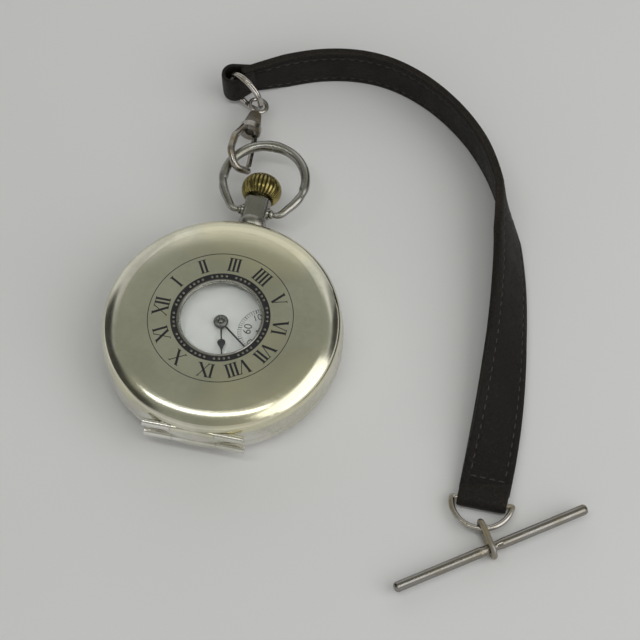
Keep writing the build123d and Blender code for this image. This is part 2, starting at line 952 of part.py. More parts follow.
with BuildPart() as pendant:
    with BuildSketch(Plane(origin=(0, 0, stem_height), x_dir=(1, 0, 0), z_dir=(0, 0, 1))):
        with BuildLine():
            Polyline(
                (collar_foot, collar_middle - collar_half),
                (collar_foot, case_radius - overrun),
                (spigot_radius, case_radius - overrun),
                (spigot_radius, spigot_start),
                (pendant_bore, spigot_start),
                (pendant_bore, chimney_end),
                (chimney_radius, chimney_end),
                (chimney_radius, neck_end),
                (pendant_neck_radius, neck_end),
                (pendant_neck_radius, neck_start),
                (collar_foot, collar_middle + collar_half),
            )
            ThreePointArc(
                (collar_foot, collar_middle + collar_half),
                (collar_radius, collar_middle),
                (collar_foot, collar_middle - collar_half),
            )
        make_face()
    revolve(axis=Axis((0, 0, stem_height), (0, 1, 0)))
    for face in (-1, 1):
        with BuildSketch(Plane(origin=(0, neck_start, stem_height + face * neck_flat),
                               x_dir=(1, 0, 0), z_dir=(0, 0, face))):
            Rectangle(2 * pendant_neck_radius, 2 * (neck_end - neck_start),
                      align=(Align.CENTER, Align.MIN if face > 0 else Align.MAX))
        extrude(amount=overrun, mode=Mode.SUBTRACT)
    for side in (-1, 1):
        ear(side)
    for side in (-1, 1):
        cross_rod(bow_pin_radius + fit, side * (ear_reach - bow_pin_depth - 2 * fit),
                  side * (ear_reach + overrun), ear_place, stem_height, mode=Mode.SUBTRACT)
    add(band_seat.part, mode=Mode.SUBTRACT)
    disc(case_radius + fit, band_top, band_top + stem_height, mode=Mode.SUBTRACT)
    disc(case_radius + fit, band_bottom - stem_height, band_bottom, mode=Mode.SUBTRACT)
save(pendant, "pendant")

with BuildPart() as pendant_sleeve:
    turned_on_stem((
        (sleeve_bore, sleeve_start),
        (pendant_bore - fit, sleeve_start),
        (pendant_bore - fit, sleeve_end),
        (sleeve_bore, sleeve_end),
    ))
save(pendant_sleeve, "pendant_sleeve")


# Bow: a ring of tapering wire that swings in the pendant's ears

def bow_section(place, direction, radius):
    """A round section of the bow's wire, square to its run."""
    section = Plane(origin=(place[0], place[1], stem_height), x_dir=(0, 0, 1),
                    z_dir=(direction[0], direction[1], 0))
    with BuildSketch(section) as profile:
        Circle(radius)
    return profile.sketch.faces()[0]


def bow_run(side):
    """Sections of one half of the bow, from beside the ear up to the top of the ring."""
    turn = radians(90 + bow_turn_angle)
    end_x, end_y = polar(bow_ring_radius, bow_turn_angle, 0, bow_middle)
    drop = end_y - ear_place
    straight = (drop - bow_bend * (1 - cos(turn))) / sin(turn)
    bend_x = end_x - straight * cos(turn)
    bend_y = end_y - straight * sin(turn)
    pin_x = bend_x - bow_bend * sin(turn)
    sections = [bow_section((side * (ear_reach + running_gap), ear_place), (side, 0), bow_wire_tip)]
    for share in (0.0, 0.5, 1.0):
        angle = turn * share
        place = (pin_x + bow_bend * sin(angle), ear_place + bow_bend * (1 - cos(angle)))
        radius = bow_wire_tip + (bow_wire_end - bow_wire_tip) * (0.2 + 0.8 * share)
        sections.append(bow_section((side * place[0], place[1]), (side * cos(angle), sin(angle)),
                                    radius))
    middle = ((place[0] + end_x) / 2, (place[1] + end_y) / 2)
    sections.append(bow_section((side * middle[0], middle[1]), (side * cos(turn), sin(turn)),
                                bow_wire_end + (bow_wire_top - bow_wire_end) * 0.17))
    steps = 9
    for step in range(steps + 1):
        share = step / steps
        angle = bow_turn_angle + (90 - bow_turn_angle) * share
        place = polar(bow_ring_radius, angle, 0, bow_middle)
        radius = bow_wire_end + (bow_wire_top - bow_wire_end) * (0.35 + 0.65 * share)
        sections.append(bow_section((side * place[0], place[1]),
                                    (-side * sin(radians(angle)), cos(radians(angle))), radius))
    return sections


with BuildPart() as bow:
    for side in (-1, 1):
        loft(bow_run(side))
        cross_rod(bow_pin_radius, side * (ear_reach - bow_pin_depth),
                  side * (ear_reach + bow_wire_tip), ear_place, stem_height)
save(bow, "bow")


# Crown: an onion of fluted gilt metal, and the stem it is screwed to

stem_line = Axis((0, 0, stem_height), (0, 1, 0))
flute_start = -degrees(asin((crown_middle - crown_start) / crown_round)) - 6
flute_end = 63
flute_place = polar(crown_round, flute_start, crown_ring, crown_middle)
flute_face = Plane(
    origin=(flute_place[0], flute_place[1], stem_height),
    x_dir=(0, 0, 1),
    z_dir=(-sin(radians(flute_start)), cos(radians(flute_start)), 0),
)
with BuildPart() as flute_cutter:
    with BuildSketch(flute_face):
        Circle(crown_flute_radius)
    revolve(axis=Axis((crown_ring, crown_middle, stem_height), (0, 0, 1)),
            revolution_arc=flute_end - flute_start)

crown_top = crown_middle + sqrt(crown_round**2 - (crown_cap - crown_ring) ** 2)
crown_foot = crown_ring + sqrt(crown_round**2 - (crown_middle - crown_start) ** 2)
stem_outer_end = crown_top - crown_ring
with BuildPart() as crown:
    with BuildSketch(Plane(origin=(0, 0, stem_height), x_dir=(1, 0, 0), z_dir=(0, 0, 1))):
        with BuildLine():
            ThreePointArc(
                (crown_foot, crown_start),
                (crown_ring + crown_round, crown_middle),
                (crown_cap, crown_top),
            )
            Polyline(
                (crown_cap, crown_top),
                (0, crown_top),
                (0, stem_outer_end + fit),
                (stem_radius + fit, stem_outer_end + fit),
                (stem_radius + fit, crown_start + crown_recess_depth),
                (crown_recess, crown_start + crown_recess_depth),
                (crown_recess, crown_start),
                (crown_foot, crown_start),
            )
        make_face()
    revolve(axis=stem_line)
    add([flute_cutter.part.rotate(stem_line, 360 * flute / crown_flutes)
         for flute in range(crown_flutes)], mode=Mode.SUBTRACT)
save(crown, "crown")

lever_groove = (stem_groove_middle - stem_groove_half, stem_groove_middle + stem_groove_half)
with BuildPart() as stem:
    turned_on_stem((
        (0, stem_inner_end),
        (stem_pilot_radius, stem_inner_end),
        (stem_pilot_radius, stem_square_start),
        (stem_radius, stem_square_start),
        (stem_radius, lever_groove[0]),
        (stem_groove_radius, lever_groove[0]),
        (stem_groove_radius, lever_groove[1]),
        (stem_radius, lever_groove[1]),
        (stem_radius, stem_outer_end),
        (0, stem_outer_end),
    ))
    square_length = clutch_start + clutch_length + running_gap - stem_square_start
    for face in (0, 90, 180, 270):
        side = Plane(origin=(0, stem_square_start, stem_height), x_dir=(0, 1, 0),
                     z_dir=(sin(radians(face)), 0, cos(radians(face))))
        with BuildSketch(side.offset(stem_square / 2)):
            Rectangle(square_length, 2 * stem_radius, align=(Align.MIN, Align.CENTER))
        extrude(amount=stem_radius, mode=Mode.SUBTRACT)
save(stem, "stem")


# Dial and hands

def hand_direction(clockwise):
    """Bearing of a hand from its clockwise angle after twelve, which lies at -X."""
    return 180 - clockwise


with BuildPart() as dial:
    ring(dial_radius, dial_hole, dial_back, dial_back + dial_thickness)
    disc(seconds_hole, dial_back, dial_back + dial_thickness, seconds_place, mode=Mode.SUBTRACT)
    for angle in dial_foot_angles:
        foot_x, foot_y = polar(dial_foot_ring, angle)
        disc(dial_foot_radius, plate_floor - dial_thickness, dial_back, foot_x, foot_y)
save(dial, "dial")


def spade_hand(bearing, height, boss, bore, x, outline, circles):
    """A flat hand: a boss, a tapering bar given by (distance, half width) and round swells."""
    face = Plane(origin=(x, 0, height), x_dir=(cos(radians(bearing)), sin(radians(bearing)), 0),
                 z_dir=(0, 0, 1))
    upper = [(distance, half) for distance, half in outline]
    lower = [(distance, -half) for distance, half in reversed(outline)]
    with BuildSketch(face) as profile:
        Circle(boss)
        with BuildLine():
            Polyline(*upper, *lower, close=True)
        make_face()
        for distance, radius in circles:
            with Locations((distance, 0)):
                Circle(radius)
        Circle(bore, mode=Mode.SUBTRACT)
    extrude(profile.sketch, amount=hand_thickness)


with BuildPart() as hour_hand:
    spade_hand(
        hand_direction(hour_hand_angle), hour_hand_height, hour_boss_radius,
        hour_pipe_radius + fit, 0,
        (
            (0, hand_bar_half),
            (hour_hand_length * 0.36, hand_bar_half * 0.7),
            (hour_hand_length * 0.44, spade_radius),
            (hour_hand_length * 0.6, hand_bar_half * 0.5),
            (hour_hand_length * 0.76, hand_bar_half * 0.5),
            (hour_hand_length * 0.84, spade_radius * 1.2),
            (hour_hand_length, hand_bar_half * 0.15),
        ),
        ((hour_hand_length * 0.44, spade_radius), (hour_hand_length * 0.84, spade_radius * 1.2)),
    )
save(hour_hand, "hour_hand")

with BuildPart() as minute_hand:
    spade_hand(
        hand_direction(minute_hand_angle), minute_hand_height, hand_hub_radius,
        cannon_pipe_radius + fit, 0,
        (
            (0, hand_bar_half),
            (minute_hand_length * 0.7, hand_bar_half * 0.55),
            (minute_hand_length * 0.76, spade_radius * 0.6),
            (minute_hand_length, hand_bar_half * 0.15),
        ),
        ((minute_hand_length * 0.76, spade_radius * 0.6),),
    )
    hub_bottom = minute_hand_height + hand_thickness
    hub_rim = (hub_bottom + hand_hub_top) / 2
    turned((
        (cannon_pipe_radius + fit, hub_bottom),
        (hand_hub_radius, hub_bottom),
        (hand_hub_radius, hub_rim),
        (hand_hub_radius * 0.8, hand_hub_top),
        (cannon_pipe_radius + fit, hand_hub_top),
    ))
save(minute_hand, "minute_hand")

with BuildPart() as seconds_hand:
    spade_hand(
        hand_direction(seconds_hand_angle), seconds_hand_height, spade_radius * 0.6,
        arbor_radius + fit, seconds_place,
        (
            (-seconds_hand_length * 0.35, hand_bar_half * 0.6),
            (0, hand_bar_half * 0.5),
            (seconds_hand_length, hand_bar_half * 0.15),
        ),
        (),
    )
save(seconds_hand, "seconds_hand")


# Case springs that lie in the band's channel: one lifts the lid, one locks it

def case_spring(start, end, bottom, top):
    """A curved strip in the band's channel between two angles."""
    outer = channel_radius - fit
    inner = outer - spring_strip
    with BuildSketch(Plane.XY.offset(bottom)) as profile:
        Circle(outer)
        Circle(inner, mode=Mode.SUBTRACT)
        wedge = [(0, 0)]
        steps = 8
        for step in range(steps + 1):
            wedge.append(polar(2 * outer, start + (end - start) * step / steps))
        Polygon(*wedge, align=None, mode=Mode.INTERSECT)
    extrude(profile.sketch, amount=top - bottom)


with BuildPart() as lift_spring:
    case_spring(-150, -95, channel_bottom + fit, channel_top - fit)
save(lift_spring, "lift_spring")

with BuildPart() as lock_spring:
    case_spring(20, 75, channel_bottom + fit, channel_top - fit)
save(lock_spring, "lock_spring")


# Main plate and the bridges that carry the train

def sector(outline, bottom, top, mode=Mode.ADD):
    """A level plate with straight edges between two heights."""
    with BuildSketch(Plane.XY.offset(bottom)) as profile:
        with BuildLine():
            Polyline(*outline, close=True)
        make_face()
    extrude(profile.sketch, amount=top - bottom, mode=mode)


def link_bar(start, end, radius_start, radius_end, bottom, top, mode=Mode.ADD):
    """A level bar with round ends of two sizes, as a cock or lever is cut."""
    run = Vector(end[0] - start[0], end[1] - start[1], 0)
    across = run.rotate(Axis.Z, 90).normalized()
    with BuildSketch(Plane.XY.offset(bottom)) as profile:
        with Locations(start):
            Circle(radius_start)
        with Locations(end):
            Circle(radius_end)
        corners = (
            (start[0] + across.X * radius_start, start[1] + across.Y * radius_start),
            (end[0] + across.X * radius_end, end[1] + across.Y * radius_end),
            (end[0] - across.X * radius_end, end[1] - across.Y * radius_end),
            (start[0] - across.X * radius_start, start[1] - across.Y * radius_start),
        )
        with BuildLine():
            Polyline(*corners, close=True)
        make_face()
    extrude(profile.sketch, amount=top - bottom, mode=mode)


def upright_slot(half_width, start, end, bottom, top, mode=Mode.SUBTRACT):
    """A straight-sided opening on the stem's line between two heights."""
    sector(((-half_width, start), (half_width, start), (half_width, end), (-half_width, end)),
           bottom, top, mode)


train = (
    (third_x, third_y),
    (seconds_place, 0),
    (escape_x, escape_y),
)
jewel_floor = bridge_bottom + jewel_thickness + running_gap
jewel_roof = plate_floor - jewel_thickness - running_gap
pivot_hole = arbor_radius + running_gap
clutch_end = clutch_start + clutch_length
pinion_start = winding_pinion_start
pinion_end = winding_pinion_start + winding_pinion_length
case_screw_places = [polar(case_screw_ring, angle) for angle in case_screw_angles]
setting_pivot_y = stem_groove_middle

with BuildPart() as main_plate:
    disc(plate_radius, plate_bottom, plate_floor)
    ring(plate_radius, works_radius, plate_floor, dial_back)
    ring(flange_radius, works_radius, flange_bottom, dial_back)
    disc(centre_arbor_radius + running_gap, plate_bottom, plate_floor, mode=Mode.SUBTRACT)
    for x, y in train + ((balance_x, balance_y), (lever_x, lever_y)):
        disc(pivot_hole, plate_bottom, jewel_roof, x, y, mode=Mode.SUBTRACT)
        disc(jewel_radius + fit, jewel_roof, plate_floor, x, y, mode=Mode.SUBTRACT)
    disc(barrel_pivot_radius + running_gap, plate_bottom, plate_floor - barrel_roof, barrel_x, barrel_y,
         mode=Mode.SUBTRACT)
    upright_slot(clutch_radius + works_gap, clutch_start - running_gap, pinion_start,
                 plate_bottom, plate_floor)
    upright_slot(winding_pinion_radius + works_gap, clutch_end + running_gap,
                 pinion_end + running_gap, plate_bottom, dial_back)
    upright_slot(stem_radius + running_gap, stem_inner_end - running_gap, flange_radius,
                 plate_bottom, stem_height + stem_radius + running_gap)
    sector((
        (-lever_boss, setting_pivot_y - 2 * lever_boss),
        (setting_pivot_x + 2 * lever_boss, setting_pivot_y - 2 * lever_boss),
        (setting_pivot_x + 2 * lever_boss, setting_pivot_y + lever_boss),
        (setting_pivot_x, setting_pivot_y + 2 * lever_boss),
        (0, setting_pivot_y + crown_travel + lever_boss),
        (-lever_boss, setting_pivot_y + crown_travel + lever_boss),
    ), plate_floor, dial_back, mode=Mode.SUBTRACT)
    upright_slot(lever_pin_radius + works_gap, setting_pivot_y - 2 * lever_boss,
                 setting_pivot_y + crown_travel + lever_pin_radius + running_gap,
                 stem_height, plate_floor)
    for x, y in case_screw_places:
        disc(screw_shank_radius + fit, plate_bottom, plate_bottom + screw_bite, x, y,
             mode=Mode.SUBTRACT)
    for angle in dial_foot_angles:
        x, y = polar(dial_foot_ring, angle)
        disc(dial_foot_radius + fit, plate_floor - dial_thickness - fit, dial_back, x, y,
             mode=Mode.SUBTRACT)
    for x, y in ((0, minute_y), (0, setting_y)):
        disc(motion_post, plate_floor, dial_back - 2 * running_gap, x, y)
    disc(lever_pin_radius, plate_floor, dial_back - 2 * running_gap, setting_pivot_x,
         setting_pivot_y)
save(main_plate, "main_plate")


balance_room = balance_radius + balance_screw_length + 3 * fit
foot_left = (
    (-bridge_radius, -0.41 * bridge_radius),
    (-0.2 * bridge_radius, -0.228 * bridge_radius),
    (0.116 * bridge_radius, -0.182 * bridge_radius),
    (0.167 * bridge_radius, 0.136 * bridge_radius),
    (0.308 * bridge_radius, 0.409 * bridge_radius),
    (0.44 * bridge_radius, 0.94 * bridge_radius),
    (0.44 * bridge_radius, 2 * bridge_radius),
    (-2 * bridge_radius, 2 * bridge_radius),
    (-2 * bridge_radius, -0.41 * bridge_radius),
)
foot_right = (
    (0.131 * bridge_radius, -0.182 * bridge_radius),
    (0.182 * bridge_radius, 0.131 * bridge_radius),
    (0.323 * bridge_radius, 0.404 * bridge_radius),
    (0.455 * bridge_radius, 0.935 * bridge_radius),
    (0.455 * bridge_radius, 2 * bridge_radius),
    (2 * bridge_radius, 2 * bridge_radius),
    (2 * bridge_radius, -0.21 * bridge_radius),
    (0.73 * bridge_radius, -0.283 * bridge_radius),
    (0.172 * bridge_radius, -0.303 * bridge_radius),
)


def bridge(outline):
    """A bridge's plate within the movement's round edge, with a foot along that edge."""
    with BuildSketch(Plane.XY.offset(bridge_bottom)) as plate_profile:
        Circle(bridge_radius)
        Polygon(*outline, align=None, mode=Mode.INTERSECT)
    extrude(plate_profile.sketch, amount=bridge_top - bridge_bottom)
    with BuildSketch(Plane.XY.offset(bridge_top)) as foot_profile:
        Circle(bridge_radius)
        Circle(bridge_foot_radius, mode=Mode.SUBTRACT)
        Polygon(*outline, align=None, mode=Mode.INTERSECT)
    extrude(foot_profile.sketch, amount=plate_bottom - bridge_top)


def bridge_screw_hole(ring_radius, angle):
    """The hole of one bridge screw."""
    x, y = polar(ring_radius, angle)
    disc(screw_shank_radius + fit, bridge_bottom, bridge_bottom + screw_length, x, y,
         mode=Mode.SUBTRACT)


crown_tip = crown_wheel_teeth * winding_module / 2 + tooth_tip_reach * winding_module
ratchet_tip = ratchet_teeth * winding_module / 2 + tooth_tip_reach * winding_module
click_x, click_y = polar(click_from_barrel, click_pivot_bearing, barrel_x, barrel_y)
click_tip = polar(ratchet_tip + 2 * running_gap, click_tip_bearing, barrel_x, barrel_y)

spring_near = polar(click_from_barrel + click_boss + 2 * running_gap, click_pivot_bearing - 1,
                    barrel_x, barrel_y)
spring_far = polar(click_from_barrel + click_boss + 2 * running_gap, click_tip_bearing + 6,
                   barrel_x, barrel_y)

with BuildPart() as barrel_bridge:
    bridge(foot_left)
    disc(ratchet_tip + running_gap, bridge_bottom, pocket_floor, barrel_x, barrel_y,
         mode=Mode.SUBTRACT)
    disc(crown_tip + running_gap, bridge_bottom, pocket_floor, 0, crown_wheel_y,
         mode=Mode.SUBTRACT)
    disc(crown_hub_radius + running_gap, pocket_floor, bridge_top, 0, crown_wheel_y,
         mode=Mode.SUBTRACT)
    disc(barrel_arbor_radius + running_gap, pocket_floor, bridge_top, barrel_x, barrel_y,
         mode=Mode.SUBTRACT)
    link_bar((click_x, click_y), click_tip, click_pocket, 0.7 * click_pocket, bridge_bottom,
             pocket_floor, mode=Mode.SUBTRACT)
    link_bar(spring_near, spring_far, 3 * click_strip, 4 * click_strip, bridge_bottom,
             pocket_floor, mode=Mode.SUBTRACT)
    disc(click_post, bridge_bottom + running_gap, pocket_floor, click_x, click_y)
    upright_slot(stem_room, 0, 2 * bridge_radius, bridge_top, plate_bottom)
    disc(centre_arbor_radius + fit, bridge_bottom, bridge_top, mode=Mode.SUBTRACT)
    for angle in barrel_screw_angles:
        bridge_screw_hole(bridge_screw_ring, angle)
save(barrel_bridge, "barrel_bridge")

with BuildPart() as train_bridge:
    bridge(foot_right)
    disc(balance_room, bridge_bottom, plate_bottom, balance_x, balance_y, mode=Mode.SUBTRACT)
    for x, y in train:
        disc(jewel_radius + fit, bridge_bottom, jewel_floor, x, y, mode=Mode.SUBTRACT)
        disc(pivot_hole, jewel_floor, bridge_top, x, y, mode=Mode.SUBTRACT)
    for angle in train_screw_angles:
        bridge_screw_hole(bridge_screw_ring, angle)
save(train_bridge, "train_bridge")


with BuildPart() as pallet_cock:
    link_bar((lever_x, lever_y), pallet_cock_foot, pallet_cock_radius, pallet_foot_radius,
             pallet_cock_bottom, pallet_cock_top)
    disc(pallet_foot_radius, pallet_cock_top, plate_bottom, *pallet_cock_foot)
    disc(pivot_radius + fit, pallet_cock_bottom, pallet_cock_top, lever_x, lever_y,
         mode=Mode.SUBTRACT)
save(pallet_cock, "pallet_cock")

with BuildPart() as balance_cock:
    link_bar(cock_foot, balance_place, cock_foot_radius, cock_head_radius, cock_bottom, cock_top)
    disc(cock_foot_radius, cock_top, plate_bottom, *cock_foot)
    disc(jewel_radius + fit, cock_bottom, cock_bottom + jewel_thickness, *balance_place,
         mode=Mode.SUBTRACT)
    disc(pivot_hole, cock_bottom + jewel_thickness, cock_top, *balance_place, mode=Mode.SUBTRACT)
    disc(screw_shank_radius + fit, cock_bottom, cock_bottom + screw_length, *cock_foot,
         mode=Mode.SUBTRACT)
    stud_x, stud_y = polar(hairspring_outer + hairspring_stud, stud_bearing, *balance_place)
    disc(hairspring_stud, hairspring_bottom, cock_top, stud_x, stud_y)
save(balance_cock, "balance_cock")


# Going barrel: toothed drum, the mainspring coiled in it and the arbor through both

barrel_root = barrel_teeth * barrel_module / 2 - tooth_root_reach * barrel_module
with BuildPart() as mainspring_barrel:
    disc(drum_radius, drum_bottom, barrel_tooth_bottom, barrel_x, barrel_y)
    wheel(barrel_teeth, barrel_module, barrel_bearing + 180,
          flat(barrel_x, barrel_y, barrel_tooth_bottom), drum_top - barrel_tooth_bottom,
          barrel_arbor_radius + running_gap)
    disc(barrel_arbor_radius + running_gap, drum_bottom, barrel_tooth_bottom, barrel_x, barrel_y,
         mode=Mode.SUBTRACT)
    disc(drum_radius - drum_wall, drum_bottom, drum_top - drum_wall, barrel_x, barrel_y,
         mode=Mode.SUBTRACT)
save(mainspring_barrel, "mainspring_barrel")

with BuildPart() as barrel_cover:
    ring(drum_radius - drum_wall - fit, barrel_arbor_radius + running_gap, drum_bottom,
         drum_bottom + drum_wall, barrel_x, barrel_y)
save(barrel_cover, "barrel_cover")

with BuildPart() as mainspring:
    strip_spiral(barrel_arbor_radius + 2 * running_gap,
                 drum_radius - drum_wall - mainspring_margin, mainspring_turns,
                 mainspring_thickness, drum_bottom + drum_wall + running_gap,
                 drum_top - drum_bottom - 2 * drum_wall - 2 * running_gap, barrel_x, barrel_y)
save(mainspring, "mainspring")

with BuildPart() as barrel_arbor:
    turned((
        (0, crown_wheel_bottom),
        (barrel_pivot_radius, crown_wheel_bottom),
        (barrel_pivot_radius, pocket_floor),
        (barrel_arbor_radius, pocket_floor),
        (barrel_arbor_radius, drum_top),
        (barrel_pivot_radius, drum_top),
        (barrel_pivot_radius, plate_floor - barrel_roof - running_gap),
        (0, plate_floor - barrel_roof - running_gap),
    ), barrel_x, barrel_y)
save(barrel_arbor, "barrel_arbor")


# Going train

bearing_to_third = degrees(atan2(third_y, third_x))
bearing_to_fourth = degrees(atan2(-third_y, seconds_place - third_x))
centre_phase = mesh_phase(barrel_bearing + 180, barrel_teeth, centre_leaves, barrel_bearing + 180)
third_phase = mesh_phase(0, centre_teeth, third_leaves, bearing_to_third)
fourth_phase = mesh_phase(0, third_teeth, fourth_leaves, bearing_to_fourth)
escape_phase = mesh_phase(0, fourth_teeth, escape_leaves, escape_bearing)

with BuildPart() as centre_wheel:
    wheel(centre_teeth, centre_module, 0, flat(0, 0, centre_wheel_bottom), wheel_thickness,
          centre_arbor_radius + fit, 5)
    wheel(centre_leaves, barrel_module, centre_phase, flat(0, 0, centre_pinion_bottom),
          drum_top - centre_pinion_bottom, centre_arbor_radius + fit)
    disc(centre_arbor_radius, bridge_bottom + running_gap, hand_hub_top)
save(centre_wheel, "centre_wheel")

with BuildPart() as third_wheel:
    wheel(third_leaves, centre_module, third_phase, flat(third_x, third_y, centre_wheel_bottom),
          pinion_length, arbor_radius + fit)
    wheel(third_teeth, third_module, 0, flat(third_x, third_y, third_wheel_bottom),
          wheel_thickness, arbor_radius + fit, 5)
    arbor(third_x, third_y, arbor_radius, centre_wheel_bottom, plate_bottom - fit,
          bridge_bottom + running_gap, plate_floor - running_gap)
save(third_wheel, "third_wheel")

with BuildPart() as fourth_wheel:
    wheel(fourth_leaves, third_module, fourth_phase, flat(seconds_place, 0, fourth_pinion_bottom),
          pinion_length, arbor_radius + fit)
    wheel(fourth_teeth, fourth_module, 0, flat(seconds_place, 0, fourth_wheel_bottom),
          wheel_thickness, arbor_radius + fit, 5)
    turned((
        (0, bridge_bottom + running_gap),
        (pivot_radius, bridge_bottom + running_gap),
        (pivot_radius, centre_wheel_bottom),
        (arbor_radius, centre_wheel_bottom),
        (arbor_radius, plate_bottom - fit),
        (seconds_arbor, plate_bottom - fit),
        (seconds_arbor, seconds_hand_height + hand_thickness),
        (0, seconds_hand_height + hand_thickness),
    ), seconds_place)
save(fourth_wheel, "fourth_wheel")

with BuildPart() as escape_wheel:
    wheel(escape_leaves, fourth_module, escape_phase,
          flat(escape_x, escape_y, escape_pinion_bottom), pinion_length, escape_arbor + fit)
    with BuildSketch(flat(escape_x, escape_y, escape_wheel_bottom)):
        rim = escape_radius * 0.8
        points = []
        for tooth in range(escape_teeth):
            start = 360 * tooth / escape_teeth
            points.append(polar(rim, start))
            points.append(polar(escape_radius, start + 9))
            points.append(polar(escape_radius * 0.98, start + 13))
            points.append(polar(rim, start + 10))
        with BuildLine():
            Polyline(*points, close=True)
        make_face()
        Circle(rim * 0.82, mode=Mode.SUBTRACT)
        for spoke in range(4):
            with BuildLine():
                Polyline(
                    polar(escape_arbor + fit, 90 * spoke - 60),
                    polar(rim * 0.9, 90 * spoke - 4),
                    polar(rim * 0.9, 90 * spoke + 4),
                    polar(escape_arbor + fit, 90 * spoke + 60),
                    close=True,
                )
            make_face()
        RegularPolygon(3 * escape_arbor, 12)
        RegularPolygon(escape_arbor + fit, 12, major_radius=False, mode=Mode.SUBTRACT)
    extrude(amount=wheel_thickness)
    arbor(escape_x, escape_y, escape_arbor, centre_wheel_bottom, plate_bottom - fit,
          bridge_bottom + running_gap, plate_floor - running_gap)
save(escape_wheel, "escape_wheel")


# Escapement: lever with its two stones, balance, hairspring and regulator

def along_lever(distance, side=0):
    """A point measured from the escape arbor towards the balance, and sideways."""
    x, y = polar(distance, lever_bearing, escape_x, escape_y)
    return polar(side, lever_bearing + 90, x, y)


with BuildPart() as pallet_lever:
    stones = [polar(stone_ring, lever_bearing + side * stone_spread, escape_x, escape_y)
              for side in (-1, 1)]
    fork_end = lever_from_escape + lever_reach
    fork_root = fork_end - 3 * lever_half
    with BuildSketch(Plane.XY.offset(lever_bottom)):
        with Locations((lever_x, lever_y)):
            Circle(lever_half * 2)
        for outline in (
            (along_lever(lever_from_escape, -lever_half), along_lever(fork_root, -lever_half),
             along_lever(fork_root, lever_half), along_lever(lever_from_escape, lever_half)),
            (along_lever(fork_root, -1.5 * lever_half), along_lever(fork_end, -2.5 * lever_half),
             along_lever(fork_end, 2.5 * lever_half), along_lever(fork_root, 1.5 * lever_half)),
        ):
            Polygon(*outline, align=None)
        Polygon(along_lever(fork_root + lever_half, -0.9 * lever_half),
                along_lever(fork_end + lever_half, -0.9 * lever_half),
                along_lever(fork_end + lever_half, 0.9 * lever_half),
                along_lever(fork_root + lever_half, 0.9 * lever_half),
                align=None, mode=Mode.SUBTRACT)
        with Locations((lever_x, lever_y)):
            RegularPolygon(arbor_radius + fit, 12, major_radius=False, mode=Mode.SUBTRACT)
    extrude(amount=lever_thickness)
    for side, place in zip((-1, 1), stones):
        link_bar(along_lever(lever_from_escape, side * 2 * lever_half), place, lever_half,
                 0.8 * lever_half, lever_bottom, lever_bottom + lever_thickness)
        inner = polar(stone_ring - stone_half, lever_bearing + side * stone_spread,
                      escape_x, escape_y)
        outer = polar(stone_ring + stone_half, lever_bearing + side * stone_spread,
                      escape_x, escape_y)
        link_bar(inner, outer, 0.5 * lever_half, 0.5 * lever_half, lever_bottom,
                 lever_bottom + lever_thickness)
    arbor(lever_x, lever_y, arbor_radius, pallet_cock_top + fit, plate_bottom - fit,
          pallet_cock_bottom + fit, plate_floor - running_gap)
save(pallet_lever, "pallet_lever")

with BuildPart() as balance:
    ring(balance_radius, balance_radius - balance_rim, balance_bottom, balance_top, *balance_place)
    with BuildSketch(Plane.XY.offset(balance_bottom)):
        with Locations(balance_place):
            for angle in (20, 110):
                Rectangle(2 * balance_radius - balance_rim, 2 * balance_arm_half, rotation=angle)
            Circle(3 * staff_radius)
        with Locations(balance_place):
            RegularPolygon(staff_radius + fit, 12, major_radius=False, mode=Mode.SUBTRACT)
    extrude(amount=balance_top - balance_bottom - 3 * fit)
    for screw in range(balance_screws):
        angle = 20 + 360 * (screw + 0.5) / balance_screws
        x, y = polar(balance_radius - balance_rim / 2, angle, *balance_place)
        place = Plane(origin=(x, y, (balance_bottom + balance_top) / 2), x_dir=(0, 0, 1),
                      z_dir=(cos(radians(angle)), sin(radians(angle)), 0))
        with BuildSketch(place):
            Circle(balance_screw_radius * 0.9)
        extrude(amount=balance_rim / 2 + balance_screw_length)
    with BuildSketch(Plane.XY.offset(roller_bottom)):
        with Locations(balance_place):
            Circle(roller_radius)
            RegularPolygon(staff_radius + fit, 12, major_radius=False, mode=Mode.SUBTRACT)
    extrude(amount=roller_thickness)
    x, y = polar(impulse_pin_ring, lever_bearing + 180, *balance_place)
    disc(impulse_pin_radius, roller_bottom, lever_bottom + lever_thickness, x, y)
    arbor(balance_x, balance_y, staff_radius, cock_top + 2 * running_gap, plate_bottom - fit,
          cock_bottom + running_gap, plate_floor - running_gap)
save(balance, "balance")

with BuildPart() as hairspring:
    strip_spiral(hairspring_inner, hairspring_outer, hairspring_turns, hairspring_thickness,
                 hairspring_bottom, hairspring_height, *balance_place)
save(hairspring, "hairspring")

with BuildPart() as regulator:
    pointer_end = polar(regulator_reach, stud_bearing + 90, *balance_place)
    link_bar(balance_place, pointer_end, cock_head_radius * 0.8, regulator_tip,
             regulator_bottom, regulator_bottom + regulator_thickness)
    disc(jewel_radius + running_gap, regulator_bottom, regulator_bottom + regulator_thickness,
         *balance_place, mode=Mode.SUBTRACT)
save(regulator, "regulator")


# Motion works under the dial

motion_bottom = plate_floor + fit
minute_phase = mesh_phase(0, cannon_leaves, minute_teeth, 90)
hour_phase = mesh_phase(0, minute_leaves, hour_teeth, 270)
setting_phase = mesh_phase(minute_phase, minute_teeth, setting_teeth, 90)

with BuildPart() as cannon_pinion:
    wheel(cannon_leaves, motion_module, 0, flat(0, 0, motion_bottom), motion_step,
          centre_arbor_radius + fit)
    ring(cannon_pipe_radius, centre_arbor_radius + fit, motion_bottom + motion_step,
         minute_hand_height + hand_thickness)
save(cannon_pinion, "cannon_pinion")

